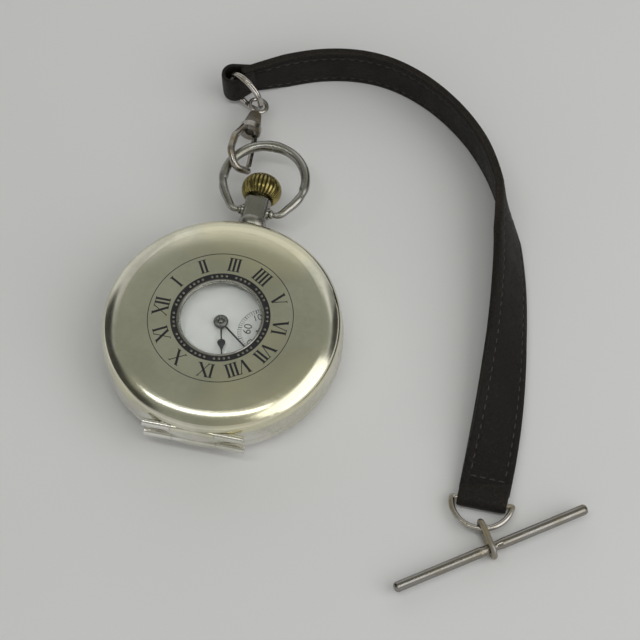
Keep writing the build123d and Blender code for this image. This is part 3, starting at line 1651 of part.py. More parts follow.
with BuildPart() as minute_wheel:
    wheel(minute_teeth, motion_module, minute_phase, flat(0, minute_y, motion_bottom),
          motion_step, motion_post + fit)
    wheel(minute_leaves, hour_module, 0, flat(0, minute_y, motion_bottom + motion_step),
          motion_step + running_gap, motion_post + fit)
save(minute_wheel, "minute_wheel")

with BuildPart() as hour_wheel:
    wheel(hour_teeth, hour_module, hour_phase, flat(0, 0, motion_bottom + motion_step + running_gap),
          motion_step, cannon_pipe_radius + running_gap)
    ring(hour_pipe_radius, cannon_pipe_radius + running_gap,
         motion_bottom + 2 * motion_step + running_gap, hour_hand_height + hand_thickness)
save(hour_wheel, "hour_wheel")

with BuildPart() as setting_wheel:
    wheel(setting_teeth, motion_module, setting_phase, flat(0, setting_y, motion_bottom),
          motion_step, motion_post + fit, 4)
save(setting_wheel, "setting_wheel")


# Keyless winding works

with BuildPart() as clutch:
    stem_rod(clutch_radius, clutch_start, clutch_end)
    groove_start = clutch_start + clutch_groove_place
    turned_on_stem((
        (clutch_radius - clutch_groove, groove_start),
        (clutch_radius + overrun, groove_start),
        (clutch_radius + overrun, groove_start + clutch_groove_width),
        (clutch_radius - clutch_groove, groove_start + clutch_groove_width),
    ), mode=Mode.SUBTRACT)
    with BuildSketch(Plane(origin=(0, clutch_start, stem_height), x_dir=(1, 0, 0),
                           z_dir=(0, 1, 0))):
        Rectangle(stem_square + 2 * fit, stem_square + 2 * fit)
    extrude(amount=clutch_length, mode=Mode.SUBTRACT)
    with BuildSketch(Plane(origin=(0, clutch_end, stem_height), x_dir=(1, 0, 0),
                           z_dir=(0, -1, 0))):
        with PolarLocations(clutch_radius, 8):
            Rectangle(clutch_groove * 2, clutch_groove)
    extrude(amount=clutch_groove, mode=Mode.SUBTRACT)
save(clutch, "clutch")

with BuildPart() as winding_pinion:
    with BuildSketch(Plane(origin=(0, pinion_start, stem_height), x_dir=(1, 0, 0),
                           z_dir=(0, 1, 0))):
        leaf = 360 / winding_pinion_teeth
        with BuildLine():
            Polyline(*[
                polar(winding_pinion_radius * reach, leaf * (tooth + share))
                for tooth in range(winding_pinion_teeth)
                for share, reach in ((0, 1), (0.3, 1), (0.45, 0.78), (0.85, 0.78))
            ], close=True)
        make_face()
        Circle(stem_radius + fit, mode=Mode.SUBTRACT)
    extrude(amount=winding_pinion_length)
save(winding_pinion, "winding_pinion")

ratchet_phase = 0
bearing_to_crown_wheel = degrees(atan2(crown_wheel_y - barrel_y, -barrel_x))
crown_wheel_phase = mesh_phase(ratchet_phase, ratchet_teeth, crown_wheel_teeth,
                               bearing_to_crown_wheel)
with BuildPart() as ratchet_wheel:
    wheel(ratchet_teeth, winding_module, ratchet_phase, flat(barrel_x, barrel_y, crown_wheel_bottom),
          crown_wheel_thickness, barrel_pivot_radius + fit)
save(ratchet_wheel, "ratchet_wheel")

with BuildPart() as crown_wheel:
    wheel(crown_wheel_teeth, winding_module, crown_wheel_phase,
          flat(0, crown_wheel_y, crown_wheel_bottom), crown_wheel_thickness,
          crown_hub_radius - crown_hub_wall)
    ring(crown_hub_radius, crown_hub_radius - crown_hub_wall,
         crown_wheel_bottom + crown_wheel_thickness, crown_hub_top, 0, crown_wheel_y)
save(crown_wheel, "crown_wheel")

with BuildPart() as click:
    link_bar((click_x, click_y), click_tip, click_boss, click_nose, crown_wheel_bottom,
             crown_wheel_bottom + click_thickness)
    disc(click_post + fit, crown_wheel_bottom, crown_wheel_bottom + click_thickness, click_x,
         click_y, mode=Mode.SUBTRACT)
save(click, "click")

with BuildPart() as click_spring:
    link_bar(spring_near, spring_far, click_strip, 2 * click_strip, crown_wheel_bottom,
             crown_wheel_bottom + click_thickness)
save(click_spring, "click_spring")

with BuildPart() as setting_lever:
    link_bar((setting_pivot_x, setting_pivot_y), (0, setting_pivot_y), lever_boss,
             lever_boss * 0.7, motion_bottom, motion_bottom + motion_step)
    disc(lever_pin_radius + fit, motion_bottom, motion_bottom + motion_step, setting_pivot_x,
         setting_pivot_y, mode=Mode.SUBTRACT)
    disc(lever_pin_radius, stem_height + stem_groove_radius + fit, motion_bottom, 0,
         setting_pivot_y)
save(setting_lever, "setting_lever")

with BuildPart() as yoke:
    tongue_y = groove_start + clutch_groove_width / 2
    link_bar(yoke_pivot, (-clutch_radius * 0.8, tongue_y), lever_boss, lever_boss * 0.5,
             motion_bottom, motion_bottom + motion_step)
    tongue_half = clutch_groove_width / 2 - fit
    tongue_bottom = stem_height + clutch_radius - clutch_groove + fit
    sector((
        (-clutch_radius, tongue_y - tongue_half),
        (clutch_radius * 0.5, tongue_y - tongue_half),
        (clutch_radius * 0.5, tongue_y + tongue_half),
        (-clutch_radius, tongue_y + tongue_half),
    ), tongue_bottom, motion_bottom + motion_step)
save(yoke, "yoke")


# Jewels and screws, each kind as one group of separate solids

with BuildPart() as jewels:
    for x, y in train:
        ring(jewel_radius, pivot_radius + fit, bridge_bottom, bridge_bottom + jewel_thickness, x, y)
    ring(jewel_radius, pivot_radius + fit, cock_bottom, cock_bottom + jewel_thickness,
         *balance_place)
    for x, y in train + ((balance_x, balance_y), (lever_x, lever_y)):
        hole = seconds_arbor if (x, y) == (seconds_place, 0) else pivot_radius
        ring(jewel_radius, hole + fit, plate_floor - jewel_thickness, plate_floor, x, y)
save(jewels, "jewels")


def screw(x, y, seat, length, angle):
    """A slotted screw under a seat, its head towards the back."""
    disc(screw_head_radius, seat - screw_head_height, seat, x, y)
    disc(screw_shank_radius, seat, seat + length, x, y)
    with BuildSketch(Plane.XY.offset(seat - screw_head_height)) as slot:
        with Locations((x, y)):
            Rectangle(2 * screw_head_radius + overrun, screw_slot, rotation=angle)
    extrude(slot.sketch, amount=screw_slot, mode=Mode.SUBTRACT)


with BuildPart() as movement_screws:
    for angle in barrel_screw_angles + train_screw_angles:
        x, y = polar(bridge_screw_ring, angle)
        screw(x, y, bridge_bottom, screw_length - running_gap, angle)
    screw(*cock_foot, cock_bottom, screw_length - running_gap, 0)
    for x, y in case_screw_places:
        screw(x, y, ledge_bottom, plate_bottom + screw_bite - ledge_bottom - running_gap, 0)
save(movement_screws, "movement_screws")


# Swivel clip that hangs in the bow

bow_top = Vector(0, bow_middle + bow_ring_radius, stem_height)
clip_start = bow_top + Vector(*clip_offset)
eye_centre = clip_start + Vector(*eye_offset)
clip_run = eye_centre - clip_start
clip_along = clip_run.normalized()
clip_length = clip_run.length
clip_level = Vector(-clip_along.Y, clip_along.X, 0).normalized()
clip_rise = clip_level.cross(clip_along) * -1
clip_across = (clip_level * cos(radians(clip_twist)) + clip_rise * sin(radians(clip_twist)))
clip_normal = clip_across.cross(clip_along)
clip_face = Plane(origin=clip_start, x_dir=clip_across, z_dir=clip_normal)
clip_line = Axis(clip_start, clip_along)


def turned_on_clip(outline, mode=Mode.ADD):
    """Turn an outline of (radius, distance) points about the clip's axis."""
    with BuildSketch(clip_face) as profile:
        with BuildLine():
            Polyline(*outline, close=True)
        make_face()
    revolve(profile.sketch, axis=clip_line, mode=mode)


def bent_wire(points, radius, bend, face):
    """A round wire along straight runs with rounded corners, in a plane."""
    with BuildLine(face) as path:
        FilletPolyline(*points, radius=bend)
    wire = path.wires()[0]
    with BuildSketch(Plane(origin=wire @ 0, z_dir=wire % 0)) as profile:
        Circle(radius)
    sweep(profile.sketch, path=wire)


with BuildPart() as clip_body:
    turned_on_clip((
        (clip_shank + running_gap, clip_neck_end),
        (clip_neck, clip_neck_end),
        (clip_cone, clip_collar_end),
        (clip_collar, clip_collar_end),
        (clip_collar, clip_collar_start),
        (clip_head + running_gap, clip_collar_start),
        (clip_head + running_gap, clip_head_end + running_gap),
        (clip_shank + running_gap, clip_head_end + running_gap),
    ))
    for groove in range(clip_knurls):
        share = (groove + 0.5) / clip_knurls
        distance = clip_collar_end + (clip_neck_end - clip_collar_end) * share
        radius = clip_cone + (clip_neck - clip_cone) * share
        turned_on_clip((
            (radius + clip_knurl, distance - clip_knurl),
            (radius - clip_knurl, distance),
            (radius + clip_knurl, distance + clip_knurl),
        ), mode=Mode.SUBTRACT)
    bent_wire(hook_points, hook_radius, hook_bend, clip_face)
    with Locations(clip_face):
        with Locations(hook_points[-1]):
            Sphere(hook_radius)
    slot_half = gate_radius + running_gap
    slot_left = gate_pivot[0] - 3 * gate_head
    slot_right = gate_pivot[0] + gate_head + 2 * running_gap
    slot_bottom = clip_collar_start - overrun
    slot_top = gate_pivot[1] + gate_head + running_gap
    with BuildSketch(clip_face.offset(-slot_half)):
        Polygon((slot_left, slot_bottom), (slot_right, slot_bottom), (slot_right, slot_top),
                (slot_left, slot_top), align=None)
    extrude(amount=2 * slot_half, mode=Mode.SUBTRACT)
    with BuildSketch(clip_face.offset(-clip_collar)):
        with Locations(gate_pivot):
            Circle(gate_pin + fit)
    extrude(amount=2 * clip_collar, mode=Mode.SUBTRACT)
save(clip_body, "clip_body")

with BuildPart() as clip_gate:
    with BuildSketch(clip_face.offset(-gate_radius)):
        with Locations(gate_pivot):
            Circle(gate_head)
        with Locations(gate_end):
            Circle(gate_radius)
        Polygon(
            (gate_pivot[0] - gate_radius, gate_pivot[1]),
            (gate_end[0] - gate_radius, gate_end[1]),
            (gate_end[0] + gate_radius, gate_end[1]),
            (gate_pivot[0] + gate_radius, gate_pivot[1]),
            align=None,
        )
    extrude(amount=2 * gate_radius)
    with BuildSketch(clip_face.offset(-gate_pin_half)):
        with Locations(gate_pivot):
            Circle(gate_pin)
    extrude(amount=2 * gate_pin_half)
save(clip_gate, "clip_gate")

eye_normal = Vector(*eye_lean_shares)
eye_normal = (eye_normal - clip_along * eye_normal.dot(clip_along)).normalized()
eye_face = Plane(origin=eye_centre, x_dir=clip_along, z_dir=eye_normal)
with BuildPart() as clip_eye:
    with Locations(eye_face):
        Torus(eye_ring, eye_wire)
    turned_on_clip((
        (0, clip_head_end - clip_head_height),
        (clip_head, clip_head_end - clip_head_height),
        (clip_head, clip_head_end),
        (clip_shank, clip_head_end),
        (clip_shank, clip_length - eye_ring),
        (0, clip_length - eye_ring),
    ))
save(clip_eye, "clip_eye")


# Split ring of two coils

ring_along = Vector(cos(radians(split_bearing)), sin(radians(split_bearing)), 0)
split_centre = eye_centre + Vector(*split_offset)
split_face = Plane(origin=split_centre, x_dir=(0, 0, 1), z_dir=ring_along.cross(Vector(0, 0, 1)))
with BuildPart() as split_ring:
    for side in (-1, 1):
        with Locations(split_face.offset(side * split_coil_offset)):
            Torus(split_radius, split_wire)
    gap_face = Plane(origin=split_centre + ring_along * split_radius, x_dir=(0, 0, 1),
                     z_dir=split_face.z_dir)
    with BuildSketch(gap_face.offset(split_coil_offset)):
        Rectangle(2 * running_gap, 4 * split_wire)
    extrude(amount=split_wire, mode=Mode.SUBTRACT)
save(split_ring, "split_ring")


# Leather strap: lies on edge by the ring, then falls over flat; widths run across its path

def strap_height(tilt):
    """Height of the strap's middle where it leans by a tilt, its lower edge on the ground."""
    return (strap_width * sin(radians(tilt)) + strap_thickness * cos(radians(tilt))) / 2 + fit


strap_points = [(x, y, strap_height(tilt)) for x, y, tilt in strap_route]
strap_tilts = [tilt for x, y, tilt in strap_route]
corner_radii = []
for before, here, after in zip(strap_points, strap_points[1:], strap_points[2:]):
    run_in = Vector(*here) - Vector(*before)
    run_out = Vector(*after) - Vector(*here)
    turn = radians(run_in.get_angle(run_out))
    shorter = min(run_in.length, run_out.length)
    corner_radii.append(strap_arc_share * shorter / tan(turn / 2))
print("strap radii", [round(radius, 1) for radius in corner_radii])
with BuildLine() as strap_path:
    FilletPolyline(*strap_points, radius=corner_radii)
strap_wire = strap_path.wires()[0]
strap_length = strap_wire.length
point_shares = [0]
for before, here in zip(strap_points, strap_points[1:]):
    point_shares.append(point_shares[-1] + (Vector(*here) - Vector(*before)).length)
point_shares = [share / point_shares[-1] for share in point_shares]


def tilt_at(share):
    """Lean of the strap at a share of its length, between the route's points."""
    for left, right, low, high in zip(point_shares, point_shares[1:], strap_tilts, strap_tilts[1:]):
        if share <= right:
            return low + (high - low) * (share - left) / (right - left)
    return strap_tilts[-1]


def strap_section(share):
    """The strap's section, square to its path and leaning by its tilt there."""
    forward = strap_wire % share
    inward = forward.cross(Vector(0, 0, 1)).normalized()
    upward = inward.cross(forward).normalized()
    tilt = radians(tilt_at(share))
    across = upward * sin(tilt) + inward * cos(tilt)
    with BuildSketch(Plane(origin=strap_wire @ share, x_dir=across, z_dir=forward)) as profile:
        Rectangle(strap_width, strap_thickness)
    return profile.sketch.faces()[0]


loop_centre = strap_wire @ 0 - (strap_wire % 0) * loop_set
loop_bottom = (strap_width - loop_height) / 2 + loop_lift
fold_x, fold_y, fold_tilt = strap_route[-1]
with BuildPart() as strap:
    loft([strap_section(step / strap_steps) for step in range(strap_steps + 1)], ruled=True)
    print("strap length", round(strap_length, 1), "volume", round(strap.part.volume, 1),
          "section by length", round(strap_width * strap_thickness * strap_length, 1))
    with BuildSketch(Plane.XY.offset(loop_bottom)):
        with Locations((loop_centre.X, loop_centre.Y)):
            Circle(loop_radius)
    extrude(amount=loop_height)
    disc(loop_bore, 0, strap_width + overrun, loop_centre.X, loop_centre.Y, mode=Mode.SUBTRACT)
    cross_rod(fold_radius, fold_x - strap_width / 2, fold_x + strap_width / 2, fold_y, fold_radius)
    cross_rod(ring_wire + running_gap, fold_x - strap_width, fold_x + strap_width, fold_y,
              fold_radius, mode=Mode.SUBTRACT)
save(strap, "strap")


# D-ring, link and T-bar

ring_face = Plane(
    origin=(fold_x, fold_y, fold_radius),
    x_dir=(1, 0, 0),
    z_dir=(0, sin(radians(d_ring_lift)), cos(radians(d_ring_lift))),
)
with BuildPart() as d_ring:
    with BuildSketch(Plane(origin=ring_face.origin + ring_face.x_dir * d_ring_radius,
                           x_dir=(1, 0, 0), z_dir=ring_face.y_dir)):
        Circle(ring_wire)
    revolve(axis=Axis(ring_face.origin, ring_face.z_dir), revolution_arc=-180)
    cross_rod(ring_wire, fold_x - d_ring_radius, fold_x + d_ring_radius, fold_y, fold_radius)
    for side in (-1, 1):
        with Locations(ring_face.origin + ring_face.x_dir * side * d_ring_radius):
            Sphere(ring_wire)
save(d_ring, "d_ring")

link_along = Vector(cos(radians(link_bearing)), sin(radians(link_bearing)), 0)
link_centre = Vector(link_place[0], link_place[1], link_height)
link_face = Plane(origin=link_centre, x_dir=link_along, z_dir=link_along.cross(Vector(0, 0, 1)))
with BuildPart() as link:
    straight = link_half - link_bend
    with BuildLine(link_face) as oval:
        Line((-straight, link_bend), (straight, link_bend))
        ThreePointArc((straight, link_bend), (link_half, 0), (straight, -link_bend))
        Line((straight, -link_bend), (-straight, -link_bend))
        ThreePointArc((-straight, -link_bend), (-link_half, 0), (-straight, link_bend))
    with BuildSketch(Plane(origin=link_face.from_local_coords((0, link_bend)), x_dir=(0, 0, 1),
                           z_dir=link_along)):
        Circle(link_wire)
    sweep(path=oval.wires()[0])
save(link, "link")

bar_along = Vector(cos(radians(bar_bearing)), sin(radians(bar_bearing)), 0)
bar_centre = Vector(bar_place[0], bar_place[1], link_height - fit)
bar_face = Plane(origin=bar_centre, x_dir=(0, 0, 1), z_dir=bar_along.cross(Vector(0, 0, 1)) * -1)
with BuildPart() as t_bar:
    half = []
    for distance, radius in (
        (0, bar_waist),
        (bar_waist_half, bar_waist),
        (2 * bar_waist_half, bar_radius),
        (bar_half - bar_radius * 0.6, bar_radius),
        (bar_half - bar_radius * 0.2, bar_radius * 0.8),
        (bar_half, bar_radius * 0.4),
    ):
        half.append((radius, distance))
    outline = [(0, -bar_half)] + [(radius, -distance) for radius, distance in reversed(half[1:])]
    outline += half[1:] + [(0, bar_half)]
    with BuildSketch(bar_face) as profile:
        with BuildLine():
            Polyline(*outline, close=True)
        make_face()
    revolve(profile.sketch, axis=Axis(bar_centre, bar_face.y_dir))
save(t_bar, "t_bar")
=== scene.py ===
"""Looks of a half hunter pocket watch on a leather fob strap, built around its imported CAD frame."""

import json
import math
from functools import cache

import bpy
import numpy as np
from bpy.props import FloatProperty, FloatVectorProperty, IntProperty, PointerProperty
from mathutils import Matrix, Vector

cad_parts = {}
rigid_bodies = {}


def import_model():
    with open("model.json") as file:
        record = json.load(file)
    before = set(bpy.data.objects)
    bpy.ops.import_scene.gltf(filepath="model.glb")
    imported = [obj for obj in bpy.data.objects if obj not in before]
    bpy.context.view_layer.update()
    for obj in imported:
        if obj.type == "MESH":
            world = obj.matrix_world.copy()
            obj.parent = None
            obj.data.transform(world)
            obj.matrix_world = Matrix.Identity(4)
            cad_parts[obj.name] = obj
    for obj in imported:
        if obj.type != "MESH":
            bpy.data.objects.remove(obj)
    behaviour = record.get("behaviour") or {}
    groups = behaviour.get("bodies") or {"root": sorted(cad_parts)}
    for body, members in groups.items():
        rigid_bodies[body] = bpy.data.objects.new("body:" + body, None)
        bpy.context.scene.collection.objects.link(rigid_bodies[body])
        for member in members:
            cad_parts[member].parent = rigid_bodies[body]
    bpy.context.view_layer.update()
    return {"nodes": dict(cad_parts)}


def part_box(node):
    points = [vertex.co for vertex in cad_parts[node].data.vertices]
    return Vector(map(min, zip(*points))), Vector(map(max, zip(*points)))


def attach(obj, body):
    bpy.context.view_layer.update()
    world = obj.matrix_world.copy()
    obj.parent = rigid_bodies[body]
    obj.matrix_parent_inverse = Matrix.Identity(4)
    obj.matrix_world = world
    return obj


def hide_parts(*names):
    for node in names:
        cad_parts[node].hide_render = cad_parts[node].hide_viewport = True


for stray in list(bpy.data.objects):
    bpy.data.objects.remove(stray)

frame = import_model()

bl_info = {
    "name": "Half hunter watch",
    "version": (1, 0, 0),
    "blender": (4, 5, 0),
    "location": "3D View > Sidebar > Watch",
    "description": "Leather, engraving, dial printing and finishes for a half hunter pocket watch",
    "category": "Object",
}

MM = 0.001
FULL_TURN = 2 * math.pi
# Where the camera looks, in millimetres
CAMERA_TARGET = (18.16, 10.28, 0)
# Dark things in the room: each one's direction, and the cosines at which it starts and is darkest
DARK_CORNERS = (
    ((-0.87, 0.28, 0.40), 0.945, 0.985),
    ((-0.84, -0.09, 0.53), 0.955, 0.985),
    ((-0.70, -0.43, 0.57), 0.955, 0.985),
    ((0.64, 0.68, 0.36), 0.94, 0.985),
    ((0.80, 0.45, 0.39), 0.95, 0.985),
)

# Strap's middle line: x and y in metres, then its lean in degrees, 90 on edge and 0 flat
STRAP_ROUTE = (
    (-0.0110, 0.0630, 90),
    (-0.0020, 0.0679, 90),
    (0.0080, 0.0716, 90),
    (0.0185, 0.0722, 90),
    (0.0285, 0.0689, 90),
    (0.0376, 0.0628, 90),
    (0.0448, 0.0552, 90),
    (0.0500, 0.0460, 86),
    (0.0534, 0.0355, 62),
    (0.0558, 0.0245, 52),
    (0.0575, 0.0120, 43),
    (0.0587, -0.0015, 28),
    (0.0592, -0.0145, 12),
    (0.0591, -0.0244, 0),
)

# Hour numerals, clockwise from twelve; twelve points to -X
NUMERALS = ("XII", "I", "II", "III", "IIII", "V", "VI", "VII", "VIII", "IX", "X", "XI")
# Strokes of each letter in shares of its height: from, to, and width; then its advance
LETTERS = {
    "I": (((0, 0.5), (0, -0.5), 0.15),),
    "V": (((-0.3, 0.5), (0.02, -0.5), 0.16), ((0.3, 0.5), (0.02, -0.5), 0.05)),
    "X": (((-0.3, 0.5), (0.3, -0.5), 0.16), ((0.3, 0.5), (-0.3, -0.5), 0.05)),
}
ADVANCES = {"I": 0.29, "V": 0.74, "X": 0.78}


# Values that a user may change

def metres(name, description, default):
    """A length that a user may change."""
    return FloatProperty(name=name, description=description, default=default, unit="LENGTH")


def number(name, description, default):
    """A number that a user may change."""
    return FloatProperty(name=name, description=description, default=default)


def count(name, description, default):
    """A whole number that a user may change."""
    return IntProperty(name=name, description=description, default=default)


def degrees(name, description, default):
    """An angle that a user may change."""
    return FloatProperty(name=name, description=description, default=math.radians(default), subtype="ANGLE")


def paint(name, description, default):
    """A colour that a user may change, in linear light."""
    return FloatVectorProperty(name=name, description=description, default=default, subtype="COLOR", min=0, max=1)


class StrapLooks(bpy.types.PropertyGroup):
    """Sizes and colours of the leather strap."""
    width: metres("Width", "Strap's width", 0.0103)
    thickness: metres("Thickness", "Strap's thickness, both layers", 0.0022)
    end_width: metres("End width", "Width of the end round the split ring", 0.0074)
    stitch_inset: metres("Stitch inset", "Stitches from the strap's edge", 0.0016)
    stitch_pitch: metres("Stitch pitch", "From one stitch to the next", 0.0021)
    stitch_length: metres("Stitch length", "Thread showing in one stitch", 0.0014)
    thread: metres("Thread", "Thread's thickness", 0.00027)
    leather_colour: paint("Leather", "Colour of the leather", (0.0060, 0.0040, 0.0030))
    # Lighter leather along the strap's edges: rubbed wear, and a painted highlight there too
    wear_and_highlight_colour: paint("Worn leather", "Colour where the leather is rubbed", (0.026, 0.021, 0.016))
    thread_colour: paint("Thread colour", "Colour of the waxed thread", (0.045, 0.038, 0.030))


class LidLooks(bpy.types.PropertyGroup):
    """Sizes and colours of the lid's engraving."""
    numeral_height: metres("Numeral height", "Height of the hour numerals", 0.0031)
    numeral_radius: metres("Numeral radius", "Middle of the numerals from the lid's centre", 0.01245)
    circle_radius: metres("Circle radius", "Engraved circle round the numerals", 0.0149)
    line_width: metres("Line width", "Width of the engraved circle", 0.00015)
    ring_inside: metres("Ring inside", "Inner radius of the minute ring", 0.00896)
    ring_outside: metres("Ring outside", "Outer radius of the minute ring", 0.01024)
    bead_radius: metres("Bead radius", "Radius of a silver bead in the ring", 0.00031)
    rim_radius: metres("Window rim", "Middle of the rolled rim round the window", 0.00868)
    rim_width: metres("Rim width", "Width of the rolled rim", 0.00052)
    rim_height: metres("Rim height", "Height of the rolled rim's section", 0.00068)
    lift: metres("Lift", "How far the enamel filling stands proud", 0.00003)
    ink_colour: paint("Enamel", "Colour of the enamel filling", (0.010, 0.009, 0.012))
    silver_colour: paint("Lid silver", "Colour of the lid's yellowed silver", (0.80, 0.79, 0.665))
    haze_colour: paint("Lid haze", "Colour of the lid under light tarnish", (0.63, 0.62, 0.50))
    stain_colour: paint("Lid stain", "Colour of the lid's straw-coloured stains", (0.82, 0.78, 0.57))


class DialLooks(bpy.types.PropertyGroup):
    """Sizes and colours of the dial's printing."""
    numeral_height: metres("Numeral height", "Height of the hour numerals", 0.0042)
    numeral_radius: metres("Numeral radius", "Middle of the numerals from the dial's centre", 0.0150)
    track_radius: metres("Minute track", "Radius of the minute track's inner circle", 0.0179)
    track_width: metres("Track width", "Between the minute track's circles", 0.0007)
    seconds_place: metres("Seconds place", "Centre of the seconds circle from the dial's centre", 0.0088)
    seconds_radius: metres("Seconds radius", "Radius of the seconds circle", 0.0052)
    figure_height: metres("Figure height", "Height of the seconds figures", 0.0014)
    line_width: metres("Line width", "Width of the fine printed lines", 0.00009)
    enamel_colour: paint("Dial", "Colour of the dial's enamel", (0.78, 0.785, 0.765))
    ink_colour: paint("Ink", "Colour of the printing", (0.013, 0.013, 0.015))
    boss_radius: metres("Boss radius", "Radius of the collar on the hands' post", 0.00138)
    boss_hole: metres("Boss hole", "Radius of the hole in the collar", 0.0006)
    boss_height: metres("Boss height", "Height of the collar over the minute hand", 0.00022)


class MetalLooks(bpy.types.PropertyGroup):
    """Colours of the metals and the clip's knurling."""
    silver_colour: paint("Silver", "Colour of clean silver", (0.80, 0.785, 0.735))
    haze_colour: paint("Silver haze", "Colour of silver under light tarnish", (0.60, 0.585, 0.49))
    gilt_colour: paint("Gilt", "Colour of the crown's gilding", (0.33, 0.275, 0.10))
    # Painted shade: a dark colour laid in the crown's grooves between its ribs
    groove_shade_colour: paint("Crown grooves", "Colour of the painted_shade in the crown's grooves", (0.045, 0.036, 0.014))
    nickel_colour: paint("Nickel", "Colour of the plated fittings", (0.50, 0.48, 0.45))
    brass_colour: paint("Worn brass", "Colour where plating has rubbed through", (0.42, 0.35, 0.22))
    steel_colour: paint("Steel", "Colour of polished steel", (0.55, 0.56, 0.58))
    knurl_count: count("Knurl count", "Knurls round the clip's sleeve", 26)
    knurl_depth: metres("Knurl depth", "Depth of the clip's knurling", 0.00016)
    crown_ribs: count("Crown ribs", "Ribs round the crown", 30)
    stem_height: metres("Stem height", "Height of the crown's axis", 0.0067)


class StageLooks(bpy.types.PropertyGroup):
    """Floor, light and camera."""
    floor_colour: paint("Floor", "Colour of the floor", (0.79, 0.79, 0.80))
    window_power: number("Window", "Watts of the soft light from the right", 2.5)
    strip_power: number("Ceiling strip", "Watts of the long light overhead", 0.9)
    fill_power: number("Far fill", "Watts of the soft light from beyond", 0.5)
    azimuth: degrees("Azimuth", "Camera's bearing round the object, from the front", 15.47)
    elevation: degrees("Elevation", "Camera's height as an angle", 61.19)
    roll: degrees("Roll", "Camera's tilt about its own line of sight", -3.28)
    distance: metres("Distance", "Camera from the point that it looks at", 0.45)
    lens: number("Lens", "Focal length in millimetres", 120.43)


GROUPS = {"watch_strap": StrapLooks, "watch_lid": LidLooks, "watch_dial": DialLooks,
          "watch_metal": MetalLooks, "watch_stage": StageLooks}


# Mesh from arrays

def unit(direction):
    """Unit vectors along each direction of an array."""
    return direction / np.linalg.norm(direction, axis=-1, keepdims=True)


def turns(steps):
    """Even angles round a circle."""
    return np.arange(steps) * FULL_TURN / steps


def grid_faces(rows, columns, ring_rows=False):
    """Quads between neighbours on a grid that is closed along its columns, and along its rows where asked."""
    row = np.arange(rows if ring_rows else rows - 1)[:, None]
    column = np.arange(columns)[None, :]
    here, after = row * columns, (row + 1) % rows * columns
    beside = (column + 1) % columns
    return np.stack([here + column, here + beside, after + beside, after + column], -1).reshape(-1, 4)


def closed(sections, ring=False):
    """Closed solids from an array (solid, station, point, xyz): a wall between stations and a cap at each end.

    In a ring the last station joins the first instead."""
    solids, stations, points = sections.shape[:3]
    start = np.arange(solids)[:, None, None] * stations * points
    faces = (start + grid_faces(stations, points, ring)).reshape(-1, 4).tolist()
    if not ring:
        first = start[:, 0] + np.arange(points)
        faces += first[:, ::-1].tolist() + (first + (stations - 1) * points).tolist()
    return sections.reshape(-1, 3), faces


def joined(parts):
    """Several (vertices, faces) as one."""
    vertices, faces, start = [], [], 0
    for points, quads in parts:
        vertices.append(points)
        faces += [[start + corner for corner in quad] for quad in quads]
        start += len(points)
    return np.concatenate(vertices), faces


def meshed(curve):
    """Points and faces of the mesh that Blender makes of a curve or of type, which is removed again."""
    guide = bpy.data.objects.new("guide", curve)
    bpy.context.scene.collection.objects.link(guide)
    bpy.context.view_layer.update()
    mesh = bpy.data.meshes.new_from_object(guide.evaluated_get(bpy.context.evaluated_depsgraph_get()))
    points = np.zeros(len(mesh.vertices) * 3)
    mesh.vertices.foreach_get("co", points)
    faces = [list(polygon.vertices) for polygon in mesh.polygons]
    bpy.data.objects.remove(guide)
    bpy.data.curves.remove(curve)
    bpy.data.meshes.remove(mesh)
    return points.reshape(-1, 3), faces


def new_piece(name, parts, material, body, smooth=True):
    """Mesh piece at the origin that rides a body, its faces turned outwards by the sign of its volume."""
    vertices, faces = joined(parts)
    mesh = bpy.data.meshes.new(name)
    mesh.from_pydata(vertices.tolist(), [], faces)
    mesh.update()

    def per_face(value, width):
        values = np.zeros(len(mesh.polygons) * width)
        mesh.polygons.foreach_get(value, values)
        return values.reshape(-1, width)

    if ((per_face("center", 3) - vertices.mean(0)) * per_face("normal", 3) * per_face("area", 1)).sum() < 0:
        mesh.flip_normals()
    if mesh.validate():
        raise RuntimeError(name + " has faces that Blender had to mend")
    mesh.polygons.foreach_set("use_smooth", [smooth] * len(mesh.polygons))
    mesh.materials.append(material)
    piece = bpy.data.objects.new(name, mesh)
    bpy.context.scene.collection.objects.link(piece)
    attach(piece, body)
    return piece


def new_attribute(piece, name, values):
    """A number at each vertex, which a material reads."""
    piece.data.attributes.new(name, "FLOAT", "POINT").data.foreach_set("value", values)


# Material helpers

